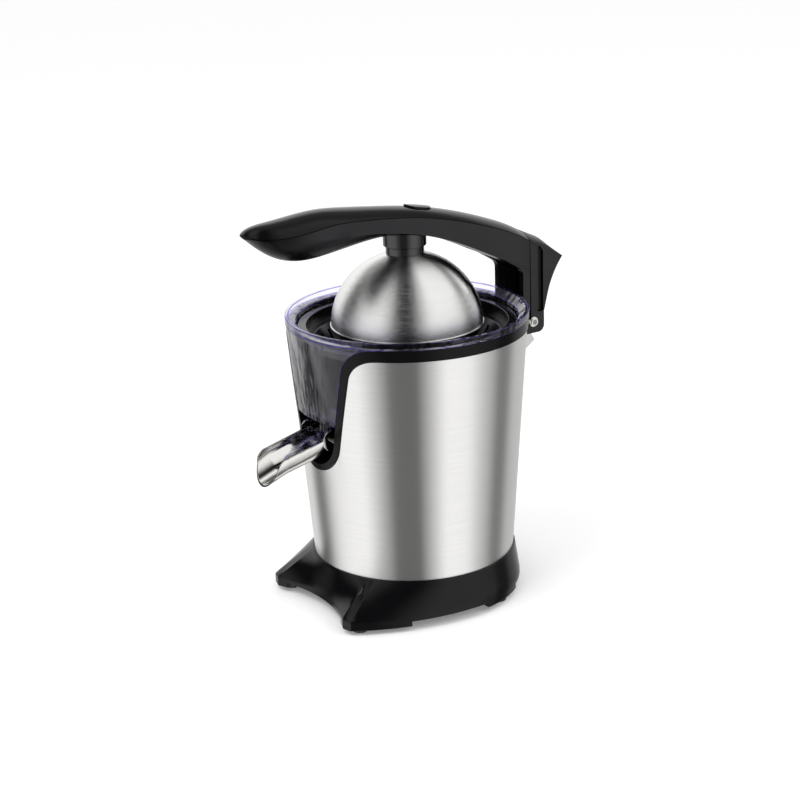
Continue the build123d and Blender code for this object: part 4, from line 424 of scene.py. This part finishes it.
def make_clear(name, clear_tint, mirror_tint, veil, roughness):
    """Clear plastic: the tint of what is seen through it, its mirror's tint, and the least of that mirror."""
    material, wire, shader = new_finish(name)
    wave = noise(wire, wave_scale, detail=2.0, stretch=wave_stretch)
    feed(wave * 0.03 + roughness, shader, "Roughness")
    feed(bump(wire, wave, wave_depth), shader, "Normal")
    shader.inputs["Base Color"].default_value = (*mirror_tint, 1)
    shader.inputs["Metallic"].default_value = 1.0
    clear = wire.node("BsdfTransparent", None, {"Color": (*clear_tint, 1)})
    graze = wire.node("LayerWeight", None, {"Blend": 0.5}, "Facing")
    mirror = graze * graze * graze * grazing_mirror + veil
    gloss = Wire(wire.tree, shader.outputs[0])
    mixed = wire.node("MixShader", None, {0: mirror, 1: clear, 2: gloss})
    wire.tree.links.new(mixed.socket, wire.tree.nodes["Material Output"].inputs["Surface"])
    return material


clear_plastic = make_clear("clear_plastic", (0.965, 0.965, 0.988), (0.98, 0.98, 1.0), 0.014, 0.02)
clear_edge = make_clear("clear_edge", (0.36, 0.32, 0.80), (0.46, 0.42, 0.96), 0.16, 0.12)
print("clear", clear_plastic.name, clear_edge.name)

# %% [markdown]
# Dressing the pieces
#
# The record gives each piece a material slot, and each slot has a finish. A few pieces share a slot with
# others but look different on the real juicer, since they were moulded or brushed in another way, so they
# have a finish of their own.

# %% Which piece has which finish
finish_of_slot = {
    "brushed_steel": brushed_steel,
    "polished_steel": polished_steel,
    "black_gloss": black_gloss,
    "clear_plastic": clear_plastic,
    "dark_plastic": dark_plastic,
    "nylon": nylon,
    "bracket_alloy": bracket_alloy,
    "rubber": rubber,
    "lamination_steel": lamination_steel,
    "copper": copper,
    "bronze": bronze,
    "carbon": carbon,
}
own_finish = {
    "press_dome": dome_steel,
    "lever_lower_shell": panel_satin,
    "lever_fork": panel_satin,
    "lever_back_cover": panel_satin,
    "strainer": basket_gloss,
    "base": base_gloss,
    "dome_hub": hub_gloss,
    "dome_collar": hub_gloss,
}
for part in frame["record"]["subparts"]:
    piece = nodes[part["node"]]
    finish = own_finish.get(part["node"], finish_of_slot[part["material_slot"]])
    piece.data.materials.clear()
    piece.data.materials.append(finish)

# %% [markdown]
# Rounded edges
#
# No moulded or pressed edge is perfectly sharp: a thin rounding catches the light and draws the form. The
# packed meshes are triangles with split corners, so a weld joins them before a bevel rounds every edge that
# is sharper than the facets of a curve. Joining the triangles of a flat face first would fill the holes in
# it.

# %% Edges
sharp_angle = radians(32)
edge_segments = 3
weld_reach = 2e-6
tight_nodes = ("inner_housing", "lever_lower_shell", "reamer_cone")  # too crowded for a free width
edge_widths_mm = {
    "base": 0.8,
    "inner_housing": 0.7,
    "housing_shell": 0.25,
    "juice_bowl": 0.5,
    "strainer": 0.4,
    "press_dome": 0.2,
    "dome_hub": 0.5,
    "dome_collar": 0.5,
    "spout": 0.2,
    "lever_top_shell": 0.5,
    "lever_lower_shell": 0.45,
    "lever_fork": 0.25,
    "lever_back_cover": 0.3,
    "release_button": 0.15,
    "hinge_bracket": 0.2,
    "hinge_pin": 0.2,
    "hinge_bushes": 0.25,
    "rubber_feet": 0.5,
    "cord_gland": 0.5,
    "reamer_cone": 0.5,
}


def weld_corners(piece):
    """Joins the corners of a mesh that lie in one place."""
    piece.modifiers.new("weld", "WELD").merge_threshold = weld_reach


def round_edges(node, width_mm):
    """Gives a packed node smooth shading and rounded edges, by modifiers alone."""
    piece = nodes[node]
    for name in ("custom_normal", "sharp_edge", "sharp_face"):
        if name in piece.data.attributes:
            piece.data.attributes.remove(piece.data.attributes[name])
    weld_corners(piece)
    edge = piece.modifiers.new("edge", "BEVEL")
    edge.width = width_mm * mm
    edge.segments = edge_segments
    edge.limit_method = "ANGLE"
    edge.angle_limit = sharp_angle
    edge.harden_normals = True
    edge.use_clamp_overlap = node in tight_nodes
    return edge


for node, width_mm in edge_widths_mm.items():
    rounding = round_edges(node, width_mm)
    if node == "juice_bowl":
        nodes[node].data.materials.append(clear_edge)
        rounding.material = 1
print("rounded", len(edge_widths_mm), "nodes")

# %% [markdown]
# Rings of corners
#
# A turned cap and a wound spring have the same build: rings of corners, one after the other, with quads
# between them. Small helpers give the angles, the quads and the piece, so that each shape below only has to
# place its corners.


# %% Helpers for new pieces
def ring_quads(rings, sides, inward):
    """Quads between rings of corners; inward turns them over."""
    quads = []
    for ring in range(rings - 1):
        for k in range(sides):
            a, b = ring * sides + k, ring * sides + (k + 1) % sides
            quad = (a, b, b + sides, a + sides)
            quads.append(quad[::-1] if inward else quad)
    return quads


def share_of_turn(k, parts):
    """The angle of one of several equal parts of a turn."""
    return radians(360 * k / parts)


def new_piece(name, corners, faces, *finishes):
    """A smooth mesh object with its finishes."""
    mesh = bpy.data.meshes.new(name)
    mesh.from_pydata(corners, [], faces)
    for finish in finishes:
        mesh.materials.append(finish)
    for polygon in mesh.polygons:
        polygon.use_smooth = True
    piece = bpy.data.objects.new(name, mesh)
    scene.collection.objects.link(piece)
    return piece


print("helpers", [f.__name__ for f in (ring_quads, share_of_turn, new_piece)])

# %% [markdown]
# Caps on the hinge pin
#
# The pin ends in a small bright cap with a socket for a key. It is turned on a lathe, so its profile, a
# short list of places along the pin and radii, is spun round the pin's axis. The socket's faces get a darker
# metal: painted shade in the recess.

# %% Pin caps
cap_profile_mm = ((0.15, 0.0), (0.15, 3.0), (0.75, 3.1), (0.95, 2.85), (0.95, 1.9), (0.72, 1.7), (0.64, 0.0))
cap_sides = 48
socket_rings = 2  # the last ones of the profile
pin_low, pin_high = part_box("hinge_pin")
pin_middle = (pin_low + pin_high) / 2
cap_overlap = 0.6 * mm


def make_pin_cap(name, side):
    """A turned cap on one end of the hinge pin; side is 1 for the right and -1 for the left."""
    root = pin_high.x - cap_overlap
    corners = []
    for along, radius in cap_profile_mm:
        for k in range(cap_sides):
            angle = share_of_turn(k, cap_sides)
            y, z = pin_middle.y + radius * mm * cos(angle), pin_middle.z + radius * mm * sin(angle)
            corners.append((side * (root + along * mm), y, z))
    faces = ring_quads(len(cap_profile_mm), cap_sides, inward=side < 0)
    cap = new_piece(name, corners, faces, polished_steel, lamination_steel)
    # painted shade: the socket's faces take a darker metal
    for polygon in cap.data.polygons[-socket_rings * cap_sides :]:
        polygon.material_index = 1
    cap.data.set_sharp_from_angle(angle=sharp_angle)
    weld_corners(cap)
    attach(cap, "body")
    return cap


pin_caps = [make_pin_cap("pin_cap_right", 1), make_pin_cap("pin_cap_left", -1)]
print("pin caps", [cap.name for cap in pin_caps], "at", in_mm(pin_middle))

# %% [markdown] Coil springs  Two springs are hidden in the juicer: one lifts the button in the lever, the
# other lifts the cone. The packed model has a sleeve of the spring's size for each.

# %% Coils
turn_steps = 40
wire_sides = 10
end_turns = 0.75


def make_coil(name, sleeve, body, wire_mm, turns):
    """A wire coil in the place of a packed sleeve."""
    low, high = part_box(sleeve)
    middle, height = (low + high) / 2, high.z - low.z
    wire_radius = wire_mm / 2 * mm
    coil_radius = (high.x - low.x) / 2 - wire_radius
    rings = round(turns * turn_steps) + 1
    corners = []
    for ring in range(rings):
        angle = share_of_turn(ring, turn_steps)
        climb = (ring / turn_steps - end_turns) / (turns - 2 * end_turns)
        level = low.z + wire_radius + min(max(climb, 0), 1) * (height - 2 * wire_radius)
        for k in range(wire_sides):
            side = share_of_turn(k, wire_sides)
            out = coil_radius + wire_radius * cos(side)
            x, y = middle.x + out * cos(angle), middle.y + out * sin(angle)
            corners.append((x, y, level + wire_radius * sin(side)))
    first_end = tuple(range(wire_sides))
    last_end = tuple(range(len(corners) - wire_sides, len(corners)))[::-1]
    faces = ring_quads(rings, wire_sides, inward=True) + [first_end, last_end]
    coil = new_piece(name, corners, faces, polished_steel)
    for end in coil.data.polygons[-2:]:
        end.use_smooth = False
    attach(coil, body)
    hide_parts(sleeve)
    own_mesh(coil)
    return coil


button_coil = make_coil("button_coil", "button_spring", "lever", 0.8, 4.0)
plunge_coil = make_coil("plunge_coil", "plunge_spring", "body", 0.9, 4.5)
print("coils", [(coil.name, in_mm(coil.dimensions)) for coil in (button_coil, plunge_coil)])

# %% [markdown]
# The floor
#
# The floor is a wide pale plane that takes the object's shadow. A little light of its own, for the camera's
# eye alone, lets it run out into the white behind it. Reflections pass it by and show the studio below the
# horizon.

# %% Floor
floor_half = 12.0
floor_white = (0.965, 0.965, 0.965)
floor_lift = (0.16, 0.16, 0.16)
floor_finish, floor_wire, floor_shader = new_finish("floor")
floor_shader.inputs["Base Color"].default_value = (*floor_white, 1)
floor_shader.inputs["Roughness"].default_value = 0.9
floor_shader.inputs["Emission Strength"].default_value = 1.0
floor_seen = floor_wire.node("LightPath", output="Is Camera Ray")
feed(tint(floor_wire, floor_seen, (0, 0, 0), floor_lift), floor_shader, "Emission Color")
floor_corners = [(x * floor_half, y * floor_half, 0) for x, y in ((-1, -1), (1, -1), (1, 1), (-1, 1))]
floor = new_piece("floor", floor_corners, [(0, 1, 2, 3)], floor_finish)
floor.visible_glossy = False
print("floor", 2 * floor_half, "m wide")

# %% [markdown]
# The studio's panels
#
# The studio is the world. For reflections it is a white tent with grey panels, which the steel shows as
# bands. The upright wall mirrors what is near the horizon, so the low ring's panels are placed by their
# angle round the object, counted from the picture's side. The dome mirrors what is higher up. There a band
# follows one line from lip to hub if its panel is placed by the angle of the normal that would mirror it,
# which lies halfway between the panel's direction and the picture's.

# %% Panels
low_stops = (  # degrees and level
    (-180, 0.75), (-136, 0.72), (-127, 0.17), (-114, 0.17), (-99, 0.85), (-86, 1.0), (-54, 1.0),
    (-37, 0.52), (-20, 0.16), (7, 0.16), (22, 0.55), (37, 1.0), (62, 1.0), (78, 0.62),
    (91, 0.40), (98, 0.14), (112, 0.14), (124, 0.48), (180, 0.60),
)
high_stops = (
    (-90, 0.40), (-68, 0.25), (-58, 0.02), (-51, 0.02), (-33, 0.96), (-22, 0.96), (-5, 0.03),
    (2, 0.03), (21, 0.96), (45, 0.96), (57, 0.30), (66, 0.02), (74, 0.02), (90, 0.40),
)
nearest_reach = 0.12
world = bpy.data.worlds.new("studio")
scene.world = world
world.use_nodes = True
sky = Wire(world.node_tree)
east, north, rise = axes_of(sky, sky.node("TexCoord", output="Generated"))
toward = east * sin(view_azimuth) - north * cos(view_azimuth)
aside = east * cos(view_azimuth) + north * sin(view_azimuth)
reach = (toward + cos(view_elevation)).math("MAXIMUM", nearest_reach)


def panels(stops, angle, half_turn, softness):
    """Grey panels by an angle, given by their places in degrees and their levels."""
    share = (angle + radians(half_turn)) / radians(2 * half_turn)
    places = [((degrees + half_turn) / (2 * half_turn), (level,) * 3) for degrees, level in stops]
    return sky.node("ValToRGB", {"stops": places, "softness": softness}, {0: share})


low_ring = panels(low_stops, aside.math("ARCTAN2", toward), 180, "LINEAR")
high_ring = panels(high_stops, aside.math("ARCTAN2", reach), 90, "EASE")
print("panels", len(low_stops), "low and", len(high_stops), "high")

# %% [markdown]
# The studio's walls
#
# Behind the object stands a backdrop, white near the floor and grey above. The rings and the backdrop are
# only for reflections. To the eye, and through the clear bowl, the world is plain white, and as a light it
# is a little softer than that, so that pale surfaces keep their colour.

# %% World
white = (1, 1, 1)
backdrop_grey = (0.30, 0.30, 0.30)
lamp_grey = (0.86, 0.86, 0.86)
grey_from, grey_full = 0.38, 0.55  # how far a direction rises where the backdrop turns grey
behind_from, behind_full = 0.4, 0.65  # how far it points away where the backdrop stands
high_from, high_full = -0.2, 0.15  # how far it rises where the high ring follows on the low one
backdrop = tint(sky, slope(rise, grey_from, grey_full), white, backdrop_grey)
high_wall = tint(sky, slope(toward * -1.0, behind_from, behind_full), high_ring, backdrop)
tent = tint(sky, slope(rise, high_from, high_full), low_ring, high_wall)
seen = sky.node("LightPath", output="Is Camera Ray")
through = sky.node("LightPath", output="Is Transmission Ray")
mirrored = sky.node("LightPath", output="Is Glossy Ray")
plain = tint(sky, seen.math("MAXIMUM", through), lamp_grey, white)
feed(tint(sky, mirrored, plain, tent), world.node_tree.nodes["Background"], "Color")
print("world", world.name, "with", len(world.node_tree.nodes), "nodes")

# %% [markdown]
# Lamps
#
# The world lights everything evenly. Two wide, weak lamps, one high on the left and one on the right, give
# the forms a side and the floor a soft shadow. They don't show in reflections, where the panels do their
# work.


# %% Lamps
def soft_lamp(name, azimuth, elevation, distance, size, power):
    """An area lamp that looks at the middle of the object, its azimuth counted from the camera."""
    towards = direction_at(view_azimuth + radians(azimuth), radians(elevation))
    data = bpy.data.lights.new(name, "AREA")
    data.shape = "DISK"
    data.size = size
    data.energy = power
    lamp = bpy.data.objects.new(name, data)
    lamp.location = towards * distance + view_centre
    lamp.rotation_euler = towards.to_track_quat("Z", "Y").to_euler()
    lamp.visible_glossy = False
    scene.collection.objects.link(lamp)
    return lamp


key_lamp = soft_lamp("key_lamp", azimuth=-50, elevation=55, distance=1.6, size=0.9, power=8.0)
side_lamp = soft_lamp("side_lamp", azimuth=65, elevation=35, distance=1.6, size=0.7, power=3.0)
scene.view_settings.view_transform = "Standard"
print("lamps at", in_mm(key_lamp.location), in_mm(side_lamp.location))
